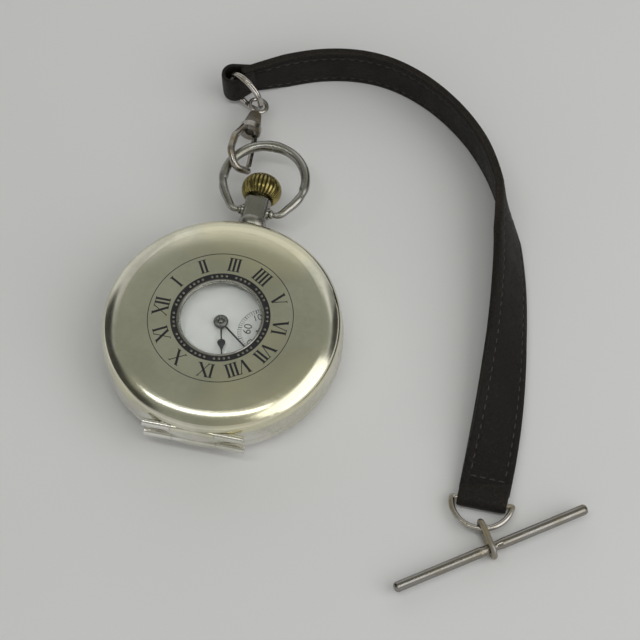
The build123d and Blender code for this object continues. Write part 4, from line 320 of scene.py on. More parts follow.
class Wiring:
    """A node tree with short calls: add a node with its inputs, each a value or another node's socket."""

    def __init__(self, tree):
        self.tree = tree

    def add(self, kind, *plain, **settings):
        node = self.tree.nodes.new(kind)
        inputs = settings.pop("inputs", {})
        for key, value in settings.items():
            setattr(node, key, value)
        for key, value in (*enumerate(plain), *inputs.items()):
            if value is not None:
                self.put(value, node.inputs[key])
        return node

    def put(self, value, socket):
        if isinstance(value, bpy.types.NodeSocket):
            self.tree.links.new(value, socket)
        else:
            socket.default_value = value

    def math(self, operation, first, second=0.0, clamp=False):
        return self.add("ShaderNodeMath", first, second, operation=operation, use_clamp=clamp).outputs[0]

    def plus(self, first, second, clamp=False):
        return self.math("ADD", first, second, clamp)

    def minus(self, first, second):
        return self.math("SUBTRACT", first, second)

    def times(self, first, second, clamp=False):
        return self.math("MULTIPLY", first, second, clamp)

    def noise(self, vector, scale, detail=3.0, roughness=0.5):
        return self.add("ShaderNodeTexNoise", inputs={
            "Vector": vector, "Scale": scale, "Detail": detail, "Roughness": roughness}).outputs["Fac"]

    def band(self, value, low, high, to_low=0.0, to_high=1.0):
        return self.add("ShaderNodeMapRange", value, low, high, to_low, to_high,
                        interpolation_type="SMOOTHSTEP").outputs[0]

    def mix(self, share, first, second):
        node = self.add("ShaderNodeMix", data_type="RGBA")
        self.put(share, node.inputs[0])
        for place, value in ((6, first), (7, second)):
            self.put(value if isinstance(value, bpy.types.NodeSocket) else (*value[:3], 1), node.inputs[place])
        return node.outputs[2]

    def mapped(self, vector, scale, turn=(0, 0, 0)):
        return self.add("ShaderNodeMapping", inputs={
            "Vector": vector, "Scale": scale, "Rotation": turn}).outputs[0]

    def group(self, tree, **inputs):
        return self.add("ShaderNodeGroup", node_tree=tree, inputs=inputs).outputs

    def attribute(self, name):
        return self.add("ShaderNodeAttribute", attribute_name=name, attribute_type="GEOMETRY").outputs["Fac"]


def new_group(name, inputs, outputs):
    """Shader node group, its wiring and its ends. An input with no default is a vector, all else a number."""
    tree = bpy.data.node_groups.new(name, "ShaderNodeTree")
    for label, default in inputs.items():
        if default is None:
            tree.interface.new_socket(label, in_out="INPUT", socket_type="NodeSocketVector")
        else:
            tree.interface.new_socket(label, in_out="INPUT", socket_type="NodeSocketFloat").default_value = default
    for label in outputs:
        tree.interface.new_socket(label, in_out="OUTPUT", socket_type="NodeSocketFloat")
    wiring = Wiring(tree)
    return tree, wiring, wiring.add("NodeGroupInput").outputs, wiring.add("NodeGroupOutput").inputs


@cache
def scratches_group():
    """Fine scratches: thin bands of noise stretched along three directions."""
    tree, wiring, source, ends = new_group("Fine scratches", {"Vector": None, "Wear": 0.5}, ("Mask",))
    worst = 0.0
    for turn, stretch in ((0.35, 900), (1.25, 1300), (2.3, 1100), (2.9, 1600)):
        line = wiring.noise(wiring.mapped(source["Vector"], (60, stretch, 240), (0.2 * turn, 0.1, turn)), 1.0, 2.0)
        thin = wiring.band(wiring.math("ABSOLUTE", wiring.minus(line, 0.62)), 0.016, 0.0)
        worst = wiring.math("MAXIMUM", worst, thin)
    patch = wiring.band(wiring.noise(source["Vector"], 220, 2.0), 0.35, 0.7)
    mask = wiring.times(wiring.times(worst, patch), source["Wear"], True)
    wiring.put(mask, ends["Mask"])
    return tree


@cache
def haze_group():
    """Tarnish haze: broad cloudy patches with a finer mottle."""
    tree, wiring, source, ends = new_group(
        "Tarnish haze", {"Vector": None, "Scale": 60.0, "Low": 0.35, "High": 0.65}, ("Mask", "Mottle"))
    broad = wiring.noise(source["Vector"], source["Scale"], 4.0, 0.55)
    fine = wiring.noise(source["Vector"], wiring.times(source["Scale"], 14.0), 3.0, 0.6)
    both = wiring.plus(wiring.times(broad, 0.85), wiring.times(fine, 0.15))
    wiring.put(wiring.band(both, source["Low"], source["High"]), ends["Mask"])
    wiring.put(fine, ends["Mottle"])
    return tree


@cache
def grain_group():
    """Leather grain: small rounded cells with creases between them, broken up by noise."""
    tree, wiring, source, ends = new_group(
        "Leather grain", {"Vector": None, "Scale": 1600.0}, ("Height", "Crease"))
    place = source["Vector"]
    stir = wiring.add("ShaderNodeTexNoise", inputs={
        "Vector": place, "Scale": 500.0, "Detail": 2.0}).outputs["Color"]
    bent = wiring.add("ShaderNodeMix", data_type="VECTOR", inputs={0: 0.0012, 4: place, 5: stir}).outputs[1]
    cell = wiring.add("ShaderNodeTexVoronoi", feature="DISTANCE_TO_EDGE",
                      inputs={"Vector": bent, "Scale": source["Scale"]}).outputs["Distance"]
    crease = wiring.band(cell, 0.16, 0.0)
    rough = wiring.noise(place, 3600.0, 3.0, 0.6)
    height = wiring.plus(wiring.times(wiring.minus(1.0, crease), 0.7),
                         wiring.times(rough, 0.5))
    wiring.put(height, ends["Height"])
    wiring.put(crease, ends["Crease"])
    return tree


def new_material(name):
    """Empty node material and its wiring, Principled shader and Object coordinates."""
    material = bpy.data.materials.new(name)
    material.use_nodes = True
    material.node_tree.nodes.clear()
    wiring = Wiring(material.node_tree)
    shader = wiring.add("ShaderNodeBsdfPrincipled")
    out = wiring.add("ShaderNodeOutputMaterial")
    wiring.put(shader.outputs[0], out.inputs["Surface"])
    place = wiring.add("ShaderNodeTexCoord").outputs["Object"]
    return material, wiring, shader.inputs, place, out


def bump(wiring, height, depth):
    """Normal from a height, depth in metres."""
    return wiring.add("ShaderNodeBump", inputs={"Strength": 1.0, "Distance": depth, "Height": height}).outputs[0]


def dimmed(colour, share):
    """A colour with a share of its light."""
    return [part * share for part in colour]


def metal(name, clean, dull, smoothness, haze=(60.0, 0.35, 0.7), wear=0.5, dullness=0.2, stain=None, dark=None):
    """Metal that goes from a clean colour to a dull one under cloudy haze, with fine scratches in both.

    stain is a third colour in broad patches, and dark a colour of painted shade for hollows with a function for
    their mask."""
    material, wiring, shader, place, _ = new_material(name)
    cloud = wiring.group(haze_group(), Vector=place, Scale=haze[0], Low=haze[1], High=haze[2])
    lines = wiring.group(scratches_group(), Vector=place, Wear=wear)["Mask"]
    colour = wiring.mix(cloud["Mask"], clean, dull)
    if stain is not None:
        colour = wiring.mix(wiring.band(wiring.noise(place, 42.0, 2.5), 0.47, 0.64, 0.0, 0.75), colour, stain)
    worn = wiring.mix(wiring.times(lines, 0.35), colour, dimmed(dull, 0.5))
    shader["Metallic"].default_value = 1.0
    base = wiring.plus(smoothness, wiring.times(cloud["Mask"], dullness))
    rough = wiring.plus(base, wiring.times(lines, 0.25))
    mottled = wiring.plus(rough, wiring.times(wiring.minus(cloud["Mottle"], 0.5), 0.6 * dullness))
    # Painted shade: hollows take the dark colour, and are rougher too
    if dark is not None:
        hollow_shade = dark[1](wiring, place)
        worn = wiring.mix(hollow_shade, worn, dark[0])
        mottled = wiring.plus(mottled, wiring.times(hollow_shade, 0.3))
    wiring.put(worn, shader["Base Color"])
    wiring.put(mottled, shader["Roughness"])
    wiring.put(bump(wiring, wiring.minus(0.0, lines), 0.000004), shader["Normal"])
    return material


def glass(name, colour, index=1.47):
    """Clear glass with faint smears in its gloss, and light passing through its shadow."""
    material, wiring, shader, place, out = new_material(name)
    smear = wiring.noise(wiring.mapped(place, (60, 140, 90), (0, 0, 0.6)), 1.0, 4.0)
    wiring.put(wiring.band(smear, 0.5, 0.75, 0.0, 0.035), shader["Roughness"])
    tint = wiring.mix(wiring.band(smear, 0.4, 0.8, 0.0, 1.0), colour, dimmed(colour, 0.985))
    wiring.put(tint, shader["Base Color"])
    shader["Metallic"].default_value = 0.0
    shader["Transmission Weight"].default_value = 1.0
    shader["IOR"].default_value = index
    clear = wiring.add("ShaderNodeBsdfTransparent").outputs[0]
    ray = wiring.add("ShaderNodeLightPath").outputs["Is Shadow Ray"]
    both = wiring.add("ShaderNodeMixShader", ray, out.inputs["Surface"].links[0].from_socket, clear)
    wiring.put(both.outputs[0], out.inputs["Surface"])
    return material


def enamel(name, colour, share, roughness):
    """Fired or printed enamel: glossy, mottled with a share of its colour, and a faint orange-peel."""
    material, wiring, shader, place, _ = new_material(name)
    speck = wiring.noise(place, 900.0, 4.0, 0.6)
    wiring.put(wiring.mix(wiring.band(speck, 0.3, 0.75), colour, dimmed(colour, share)), shader["Base Color"])
    ripple = wiring.noise(place, 400.0, 2.0)
    wiring.put(wiring.band(ripple, 0.3, 0.7, roughness, roughness + 0.1), shader["Roughness"])
    wiring.put(bump(wiring, speck, 0.000003), shader["Normal"])
    return material


def leather(name, looks):
    """Waxed leather: grain and creases, darker hollows, rubbed high spots and a painted highlight along its edges,
    dull gloss.
    """
    material, wiring, shader, place, _ = new_material(name)
    grain = wiring.group(grain_group(), Vector=place, Scale=1500.0)
    # Lighter along the edges: partly rubbed wear, partly a painted highlight
    rub_and_highlight = wiring.attribute("rub_and_highlight")
    cloud = wiring.noise(place, 160.0, 5.0, 0.6)
    share = wiring.times(rub_and_highlight, wiring.band(cloud, 0.25, 0.75, 0.35, 1.0), True)
    fleck = wiring.band(wiring.noise(place, 1100.0, 3.0, 0.65), 0.56, 0.72, 0.0, 0.55)
    worn = wiring.plus(wiring.plus(share, wiring.band(cloud, 0.5, 0.8, 0.0, 0.3)), fleck, True)
    skin = wiring.mix(worn, looks.leather_colour, looks.wear_and_highlight_colour)
    deep = wiring.mix(wiring.times(grain["Crease"], 0.6), skin, dimmed(looks.leather_colour, 0.4))
    wiring.put(deep, shader["Base Color"])
    wiring.put(wiring.plus(wiring.band(cloud, 0.3, 0.7, 0.42, 0.58),
                          wiring.times(grain["Crease"], 0.15)), shader["Roughness"])
    shader["Specular IOR Level"].default_value = 0.22
    wiring.put(bump(wiring, grain["Height"], 0.00006), shader["Normal"])
    return material


def thread(name, looks):
    """Waxed thread: a fine twist across each stitch."""
    material, wiring, shader, place, _ = new_material(name)
    twist = wiring.add("ShaderNodeTexWave", inputs={"Vector": wiring.mapped(place, (1, 1, 1), (0.7, 0.5, 0.6)),
                       "Scale": 2200.0, "Distortion": 1.5}).outputs["Fac"]
    wiring.put(wiring.mix(twist, dimmed(looks.thread_colour, 0.55), looks.thread_colour), shader["Base Color"])
    wiring.put(wiring.band(twist, 0.0, 1.0, 0.55, 0.7), shader["Roughness"])
    wiring.put(bump(wiring, twist, 0.00003), shader["Normal"])
    return material


def floor_finish(looks):
    """Smooth pale table top with a very faint mottle."""
    material, wiring, shader, place, _ = new_material("Pale table")
    cloud = wiring.noise(place, 9.0, 3.0)
    fine = wiring.noise(place, 700.0, 2.0)
    colour = wiring.mix(wiring.band(cloud, 0.3, 0.7), looks.floor_colour, dimmed(looks.floor_colour, 0.97))
    wiring.put(colour, shader["Base Color"])
    wiring.put(wiring.band(fine, 0.2, 0.8, 0.55, 0.65), shader["Roughness"])
    return material


# Leather strap

def run_along(points):
    """Distance along a line of points from its start."""
    return np.concatenate([[0], np.cumsum(np.linalg.norm(np.diff(points, axis=0), axis=1))])


def strap_line(looks):
    """Points along the strap's middle, read from its spline, with the section's two directions at each.

    The spline's points are the route's. At a point the strap leans by the route's lean, so its width runs along
    up times the lean's sine plus inward times its cosine, and its thickness is square to that and to the path."""
    route = np.array(STRAP_ROUTE)
    lean = np.radians(route[:, 2])
    height = (looks.width * np.sin(lean) + looks.thickness * np.cos(lean)) / 2 + 0.00005
    knots = np.column_stack([route[:, :2], height])
    curve = bpy.data.curves.new("strap route", "CURVE")
    curve.dimensions = "3D"
    curve.resolution_u = 24
    spline = curve.splines.new("NURBS")
    spline.points.add(len(knots) - 1)
    spline.points.foreach_set("co", np.column_stack([knots, np.ones(len(knots))]).ravel())
    spline.order_u = 3
    spline.use_endpoint_u = True
    points = meshed(curve)[0]
    run, chord = run_along(points), run_along(knots)
    even = np.linspace(0, run[-1], int(run[-1] / 0.0006))
    middle = np.column_stack([np.interp(even, run, points[:, axis]) for axis in range(3)])
    tilt = np.interp(even / run[-1], chord / chord[-1], lean)
    forward = unit(np.gradient(middle, axis=0))
    inward = unit(np.cross(forward, (0, 0, 1)))
    upward = unit(np.cross(inward, forward))
    across = upward * np.sin(tilt)[:, None] + inward * np.cos(tilt)[:, None]
    return points, even, middle, across, np.cross(forward, across)


def leather_section(points, half_width, half_thickness, squareness=0.24, groove=0.0, groove_at=1.0, seam=0.0):
    """Rounded section with a stitch groove in both faces and a seam in both edges.

    A point at angle t is half width times |cos t| to the squareness and half thickness times |sin t| to it, with
    their signs. Near the groove's place the face drops by its depth, and near mid thickness the edge does."""
    angle = turns(points)
    wide = np.sign(np.cos(angle)) * np.abs(np.cos(angle)) ** squareness
    thick = np.sign(np.sin(angle)) * np.abs(np.sin(angle)) ** squareness
    crown = 1 - 0.10 * np.abs(wide) ** 3
    dip = groove * np.exp(-((np.abs(wide) * half_width - groove_at) / 0.00028) ** 2)
    pinch = seam * np.exp(-((thick * half_thickness) / 0.00016) ** 2)
    return (wide * half_width - np.sign(wide) * pinch), (thick * (half_thickness * crown) - np.sign(thick) * dip)


def wrapped(centre, away, side, radius, thickness, width, reach, spread):
    """A leather band folded round a bar: along one layer, round the bar, and back along the other.

    Its middle line is a circle's arc between the two tangents from points at (reach, plus or minus spread), and
    its section is a rounded rectangle, thickness by width."""
    away, side = np.array(away) / np.linalg.norm(away), np.array(side) / np.linalg.norm(side)
    axis = np.cross(away, side)
    angle = math.atan2(spread, reach) + math.acos(radius / math.hypot(reach, spread))
    arc = np.linspace(angle, FULL_TURN - angle, 40)
    arc_line = radius * np.column_stack([np.cos(arc), np.sin(arc)])
    share = np.linspace(0, 1, 12, endpoint=False)[:, None]
    leg_in = np.array([[reach, spread]]) * (1 - share) + arc_line[:1] * share
    line = np.concatenate([leg_in, arc_line, leg_in[::-1] * (1, -1)])
    forward = unit(np.gradient(line, axis=0))
    outward = np.column_stack([forward[:, 1], -forward[:, 0]])
    wide, thick = leather_section(40, width / 2, thickness / 2, 0.3)
    place = line[:, None, :] + outward[:, None, :] * thick[None, :, None]
    points = (np.array(centre) + place[..., :1] * away + place[..., 1:] * side + wide[None, :, None] * axis)
    return closed(points[None])


def stitches(middle, along, out, starts, even, looks, lift):
    """Short rounded threads from each start along a line that is given at even runs, both ends sunk.

    Across a stitch, a thread's height over the groove is a parabola, and its section is a six-sided ring that
    narrows at the ends."""
    share = np.linspace(0, 1, 7)
    run = starts[:, None] + share[None, :] * looks.stitch_length
    pick = [np.stack([np.interp(run, even, table[:, axis]) for axis in range(3)], -1)
            for table in (middle, along, out)]
    bow = 1 - (2 * share - 1) ** 2
    radius = looks.thread / 2 * np.sqrt(0.15 + 0.85 * bow)
    centre = pick[0] + pick[2] * (lift + looks.thread * 0.55 * (bow - 1))[None, :, None]
    turn = turns(6)
    sideways, upward = pick[1][:, :, None, :], pick[2][:, :, None, :]
    ring = (np.cos(turn)[None, None, :, None] * sideways * 1.2 + np.sin(turn)[None, None, :, None] * upward)
    return closed(centre[:, :, None, :] + ring * radius[None, :, None, None])


def make_strap(looks):
    """Strap's leather, its two folded ends and its stitches."""
    hide = leather("Waxed leather", looks)
    waxed = thread("Waxed thread", looks)
    points, even, middle, across, normal = strap_line(looks)
    half_width, half_thickness = looks.width / 2, looks.thickness / 2
    groove_at, groove_depth, seam_depth = half_width - looks.stitch_inset, 0.00010, 0.00018
    wide, thick = leather_section(128, half_width, half_thickness, 0.2, groove_depth, groove_at, seam_depth)
    taper, lift, floor_gap = 0.010, 0.00015, 0.00003
    narrow = np.interp(even, (0, taper), (looks.end_width / looks.width, 1))
    left = even[-1] - even
    used = left > 0.0021
    crease = 1 - 0.16 * np.exp(-((left - 0.0039) / 0.0003) ** 2)
    place = (middle[:, None, :] + across[:, None, :] * (wide[None, :] * narrow[:, None])[..., None]
             + normal[:, None, :] * (thick[None, :] * crease[:, None])[..., None])
    place[..., 2] += np.interp(even, (0, taper), (lift, 0))[:, None]
    place[..., 2] += np.maximum(floor_gap - place[..., 2].min(1), 0)[:, None]
    start, end, bar_height = middle[0], middle[-1], 0.0017
    forward = unit(middle[1] - start)
    loop = wrapped(start - forward * 0.00198 + (0, 0, lift), forward, np.cross((0, 0, 1), forward),
                   radius=0.00213, thickness=0.00094, width=looks.end_width, reach=0.0046, spread=0.00058)
    away = np.array((0, 0.0046, end[2] - bar_height))
    fold = wrapped((end[0], end[1], bar_height), away, (0, -away[2], away[1]),
                   radius=0.00118, thickness=0.00096, width=looks.width - 0.0003, reach=0.0050, spread=0.00056)
    strap = new_piece("strap_leather", [closed(place[None, used])], hide, "strap")
    ends = new_piece("strap_folds", [loop, fold], hide, "strap")
    angle = np.arange(len(strap.data.vertices)) % len(wide) * FULL_TURN / len(wide)
    # Rubbed wear and a painted highlight: 1 along both edges, none across the faces; the folds lighter all over by
    # the same mix
    new_attribute(strap, "rub_and_highlight", np.clip(1.25 - np.abs(np.sin(angle)) * 1.6, 0, 1))
    new_attribute(ends, "rub_and_highlight", np.full(len(ends.data.vertices), 0.55))
    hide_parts("strap")
    lines, sink = [], 0.00006
    long_run = np.arange(0.0052, even[-1] - 0.0062, looks.stitch_pitch)
    depth = half_thickness * 0.955 - groove_depth
    for edge in (-1, 1):
        for face in (-1, 1):
            line = middle + across * (edge * groove_at * narrow)[:, None] + normal * (face * depth)
            lines.append(stitches(line, across, normal * face, long_run, even, looks, sink))
    at = int(np.argmin(np.abs(even - (even[-1] - 0.0047))))
    reach = np.linspace(-groove_at, groove_at, 40)
    along = np.tile(unit(middle[at] - middle[at - 1]), (40, 1))
    starts = np.arange(0, 2 * groove_at - looks.stitch_length, looks.stitch_pitch * 0.9)
    crown = half_thickness * (1 - 0.10 * (np.abs(reach) / half_width) ** 3)
    for face in (-1, 1):
        out = normal[at] * face
        row = middle[at] + across[at] * reach[:, None] + out * crown[:, None]
        lines.append(stitches(row, along, np.tile(out, (40, 1)), starts, reach + groove_at, looks, sink))
    new_piece("strap_stitching", lines, waxed, "strap")


# Engraving and printing

def lid_height(radius):
    """Height of the lid's dome at a radius: an arc of 46.74 mm about a ring of 12.884 mm."""
    return -33.77 * MM + np.sqrt((46.74 * MM) ** 2 - (radius - 12.884 * MM) ** 2)


def strokes_of(word, height):
    """Strokes of a Roman numeral about its own middle: an array of x, y from, x, y to, and width, serifs last."""
    width = sum(ADVANCES[letter] for letter in word)
    place, found = -width / 2, []
    for letter in word:
        middle = place + ADVANCES[letter] / 2
        place += ADVANCES[letter]
        for (x0, y0), (x1, y1), thick in LETTERS[letter]:
            found.append((middle + x0, y0, middle + x1, y1, thick))
            for x, y in ((x0, y0), (x1, y1)):
                if letter == "V" and y < 0:
                    continue
                level, reach = y - math.copysign(0.02, y), 0.05 + thick * 0.55
                found.append((middle + x - reach, level, middle + x + reach, level, 0.045))
    return np.array(found) * height


def laid_strokes(strokes, surface, lift, depth):
    """Flat strokes as thin slabs on a surface: each is an even run between its ends, with its width square to it.

    strokes has x, y from, x, y to and width; surface turns x and y into the metal's own points."""
    share = np.linspace(0, 1, 7)[None, :, None]
    start, end, width = strokes[:, None, 0:2], strokes[:, None, 2:4], strokes[:, 4]
    run = start * (1 - share) + end * share
    direction = unit(end - start)
    aside = np.stack([-direction[..., 1], direction[..., 0]], -1)
    corners = np.array(((-1, -depth), (1, -depth), (1, lift), (-1, lift)))
    flat = run[:, :, None, :] + aside[:, :, None, :] * corners[None, None, :, :1] * width[:, None, None, None] / 2
    height = np.broadcast_to(corners[None, None, :, 1], flat.shape[:3])
    return closed(surface(flat[..., 0], flat[..., 1], height))


def turned_ring(profile, surface, steps=240):
    """A profile of (radius, height) turned round the vertical and laid on a surface, closed on itself."""
    angle = turns(steps)
    radius, height = np.array(profile).T
    x, y = radius * np.cos(angle)[:, None], radius * np.sin(angle)[:, None]
    return closed(surface(x, y, np.broadcast_to(height, x.shape))[None], ring=True)


def flat_band(inside, outside, surface, lift, depth, steps=240):
    """Flat band between two radii."""
    return turned_ring(((inside, -depth), (outside, -depth), (outside, lift), (inside, lift)), surface, steps)


def ring_of_numerals(radius, height):
    """Strokes of the twelve numerals, their tops outward, clockwise from -X."""
    found = []
    for hour, word in enumerate(NUMERALS):
        strokes = strokes_of(word, height)
        bearing = math.pi - hour * FULL_TURN / 12
        out = np.array((math.cos(bearing), math.sin(bearing)))
        along = np.array((out[1], -out[0]))
        for column in (0, 2):
            place = out * (radius + strokes[:, column + 1:column + 2]) + along * strokes[:, column:column + 1]
            strokes[:, column:column + 2] = place
        found.append(strokes)
    return np.concatenate(found)


def ticks(centre, inside, outside, count, width, wide_every=0, wide=0.0):
    """Straight radial ticks round a centre."""
    angle = math.pi - turns(count)
    out = np.column_stack([np.cos(angle), np.sin(angle)])
    widths = np.full(count, width)
    if wide_every:
        widths[::wide_every] = wide
    return np.column_stack([centre + out * inside, centre + out * outside, widths])


def on_lid(x, y, height):
    """Points on the lid's dome, raised by height."""
    return np.stack([x, y, lid_height(np.hypot(x, y)) + height], -1)


def on_level(level):
    """Function for the points over a level surface."""
    return lambda x, y, height: np.stack([x, y, level + height], -1)


def make_lid_engraving(looks):
    """Hour numerals, engraved circle and beaded minute ring on the lid."""
    ink = enamel("Engraving enamel", looks.ink_colour, 1.8, 0.32)
    lift, half_line = looks.lift, looks.line_width / 2
    numerals = laid_strokes(ring_of_numerals(looks.numeral_radius, looks.numeral_height), on_lid, lift, lift)
    circle = flat_band(looks.circle_radius - half_line, looks.circle_radius + half_line, on_lid, lift * 0.8, lift)
    ring = flat_band(looks.ring_inside, looks.ring_outside, on_lid, lift, lift)
    for name, part in (("lid_numerals", numerals), ("lid_circle", circle), ("lid_minute_ring", ring)):
        new_piece(name, [part], ink, "lid", False)
    minute = np.array([number for number in range(60) if number % 5])
    angle = math.pi - minute * FULL_TURN / 60
    middle = (looks.ring_inside + looks.ring_outside) / 2
    latitude = np.linspace(0, math.pi / 2, 4)[:, None]
    longitude = turns(10)[None, :]
    out = np.maximum(np.cos(latitude), 0.02) * looks.bead_radius
    x = (middle * np.cos(angle))[:, None, None] + out * np.cos(longitude)
    y = (middle * np.sin(angle))[:, None, None] + out * np.sin(longitude)
    height = np.broadcast_to(lift * 0.6 + np.sin(latitude) * looks.bead_radius * 0.5, x.shape)
    bead_metal = metal("Bead silver", dimmed(looks.silver_colour, 0.32), dimmed(looks.haze_colour, 0.32), 0.36)
    new_piece("lid_beads", [closed(on_lid(x, y, height))], bead_metal, "lid")


def figures(text, size, centre, bearing, height):
    """Printed figures from Blender's own type, centred, their tops turned to a bearing, as a mesh."""
    curve = bpy.data.curves.new("figures", "FONT")
    curve.body = text
    curve.size = size / 0.72
    curve.extrude = 0.000008
    curve.resolution_u = 3
    points, faces = meshed(curve)
    points[:, :2] -= (points[:, :2].min(0) + points[:, :2].max(0)) / 2
    up = np.array((math.cos(bearing), math.sin(bearing)))
    right = np.array((up[1], -up[0]))
    place = np.array(centre) + points[:, :1] * right + points[:, 1:2] * up
    return np.column_stack([place, points[:, 2] + height]), faces


def make_dial_printing(looks):
    """Hour numerals, minute track and seconds circle on the dial."""
    ink = enamel("Dial ink", looks.ink_colour, 1.6, 0.3)
    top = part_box("dial")[1].z
    on_dial = on_level(top)
    lift, depth, fine = 0.000015, 0.00001, looks.line_width
    numerals = ring_of_numerals(looks.numeral_radius, looks.numeral_height)
    outward = np.hypot(*(numerals[:, 0:2] + numerals[:, 2:4]).T / 2 - np.array((looks.seconds_place, 0))[:, None])
    numerals = numerals[outward > looks.seconds_radius + 0.0012]
    new_piece("dial_numerals", [laid_strokes(numerals, on_dial, lift, depth)], ink, "case", False)
    inner, outer = looks.track_radius, looks.track_radius + looks.track_width
    track = [flat_band(radius - fine / 2, radius + fine / 2, on_dial, lift, depth) for radius in (inner, outer)]
    track.append(laid_strokes(ticks(np.zeros(2), inner, outer, 60, fine, 5, fine * 3), on_dial, lift, depth))
    new_piece("dial_minute_track", track, ink, "case", False)
    centre = np.array((looks.seconds_place, 0))

    def on_seconds(x, y, height):
        return on_dial(x + centre[0], y + centre[1], height)

    edge, tick = looks.seconds_radius, 0.0008
    seconds = [flat_band(edge - fine * 0.4, edge + fine * 0.4, on_seconds, lift, depth, 160),
               laid_strokes(ticks(np.zeros(2), edge - tick, edge, 60, fine * 1.2, 5, fine * 2.2),
                            on_seconds, lift, depth)]
    for step, text in enumerate(("60", "10", "20", "30", "40", "50")):
        bearing = math.pi - step * FULL_TURN / 6
        size = looks.figure_height * (1.0 if step else 1.25)
        place = centre + (edge - tick - size * 0.62) * np.array((math.cos(bearing), math.sin(bearing)))
        seconds.append(figures(text, size, place, bearing, top + 0.00001))
    new_piece("dial_seconds_track", seconds, ink, "case", False)


def make_clip_knurling(looks):
    """Crossed knurling on the clip's tapered sleeve, with painted shade darkening its cuts.

    Round the sleeve its radius is the taper's plus the knurl's depth times the product of two triangle waves,
    one that climbs clockwise and one that climbs the other way, as crossed cuts leave it."""
    origin = np.array((-6.27, 43.61, 6.65)) * MM
    along = unit(np.array((-0.002057, 0.983348, -0.181721)))
    across = unit(np.array((-0.669412, 0.133645, 0.730772)))
    normal = np.cross(across, along)
    run = np.linspace(7.78, 11.9, 56) * MM
    turn = turns(208)
    sleeve_ends, sleeve_radii, proud, step, fade_run, tuck = (
        (7.7 * MM, 12.0 * MM), (1.95 * MM, 1.15 * MM), 0.14 * MM, 0.5 * MM, 0.25 * MM, 0.2 * MM)
    pitch = FULL_TURN / looks.knurl_count
    climb = (run - run[0]) / step * pitch

    def wave(phase):
        return np.abs((phase / pitch) % 1 - 0.5) * 2

    cut = np.minimum(wave(turn[None, :] + climb[:, None]), wave(turn[None, :] - climb[:, None]))
    fade = np.clip(np.minimum(run - run[0], run[-1] - run) / fade_run, 0, 1)
    taper = np.interp(run, sleeve_ends, sleeve_radii)
    radius = taper[:, None] + proud + looks.knurl_depth * (cut - 0.5) * fade[:, None]
    radius[[0, -1]] -= tuck
    place = (origin + along * run[:, None, None] + across * (radius * np.cos(turn))[..., None]
             + normal * (radius * np.sin(turn))[..., None])

    # Painted shade: the knurl's cuts darkened almost to black
    def cuts(wiring, _):
        return wiring.band(wiring.attribute("cut"), 0.42, 0.08, 0.0, 0.9)

    gun = metal("Knurled nickel", dimmed(looks.nickel_colour, 0.9), dimmed(looks.brass_colour, 0.6),
                0.24, (300.0, 0.35, 0.7), 0.2, dark=((0.03, 0.027, 0.024), cuts))
    sleeve = new_piece("clip_knurling", [closed(place[None])], gun, "clip")
    new_attribute(sleeve, "cut", cut.ravel())


def make_finishes(scene):
    """A procedural finish for every node of the frame, by its slot, and a few by node."""
    looks, dial, lid = scene.watch_metal, scene.watch_dial, scene.watch_lid

    # Mask of the crown's grooves, where painted shade darkens the gilt
    def grooves(wiring, place):
        part = wiring.add("ShaderNodeSeparateXYZ", place).outputs
        angle = wiring.math("ARCTAN2", wiring.minus(part["Z"], looks.stem_height), part["X"])
        return wiring.band(wiring.math("COSINE", wiring.times(angle, float(looks.crown_ribs))), -0.1, 0.85)

    silver, haze, steel, gilt = looks.silver_colour, looks.haze_colour, looks.steel_colour, looks.gilt_colour
    nickel, brass = looks.nickel_colour, looks.brass_colour
    finishes = {
        "silver": metal("Hazed silver", silver, haze, 0.16, (70.0, 0.35, 0.72), 0.6, 0.14),
        # Worn gilt, with a painted shade in the crown's grooves
        "gilt": metal("Worn gilt", gilt, dimmed(gilt, 0.75), 0.22, (260.0, 0.4, 0.75), 0.1, 0.1,
                      dark=(looks.groove_shade_colour, grooves)),
        "steel": metal("Polished steel", steel, dimmed(steel, 0.8), 0.14, (200.0, 0.4, 0.75), 0.4),
        "blued_steel": metal("Blued steel", (0.030, 0.034, 0.055), (0.018, 0.018, 0.024), 0.22,
                             (300.0, 0.35, 0.7), 0.2),
        "gilt_brass": metal("Frosted gilding", (0.74, 0.60, 0.33), (0.66, 0.52, 0.28), 0.34,
                            (500.0, 0.3, 0.7), 0.15, 0.12),
        "enamel": enamel("Fired enamel", dial.enamel_colour, 0.97, 0.12),
        "crystal": glass("Watch glass", (0.97, 0.98, 0.975)),
        "jewel": glass("Ruby", (0.72, 0.05, 0.13), 1.76),
        "nickel": metal("Worn nickel", nickel, dimmed(brass, 0.75), 0.2, (180.0, 0.42, 0.75), 0.7, 0.2),
        "worn_brass": metal("Rubbed brass", brass, dimmed(nickel, 0.6), 0.27, (160.0, 0.35, 0.7), 0.6, 0.18),
        "leather": leather("Strap leather core", scene.watch_strap),
    }
    for node in frame["nodes"].values():
        for slot in node.material_slots:
            slot.material = finishes[slot.material.name.split(".")[0]]
    special = {
        "lid_shell": metal("Lid silver", lid.silver_colour, lid.haze_colour, 0.125, (55.0, 0.30, 0.62), 0.30, 0.06,
                           stain=lid.stain_colour),
        "t_bar": metal("Bar nickel", dimmed(nickel, 0.6), dimmed(brass, 0.5), 0.15, (90.0, 0.4, 0.75), 0.8, 0.12),
        "bow": metal("Tarnished silver", dimmed(silver, 0.5), dimmed(haze, 0.42), 0.2,
                     (150.0, 0.35, 0.7), 0.5, 0.12),
        "clip_body": metal("Clip nickel", dimmed(nickel, 0.8), dimmed(brass, 0.6), 0.18,
                           (260.0, 0.4, 0.75), 0.5, 0.15),
    }
    special["pendant"], special["clip_gate"] = special["bow"], special["clip_body"]
    for name, material in special.items():
        for slot in frame["nodes"][name].material_slots:
            slot.material = material


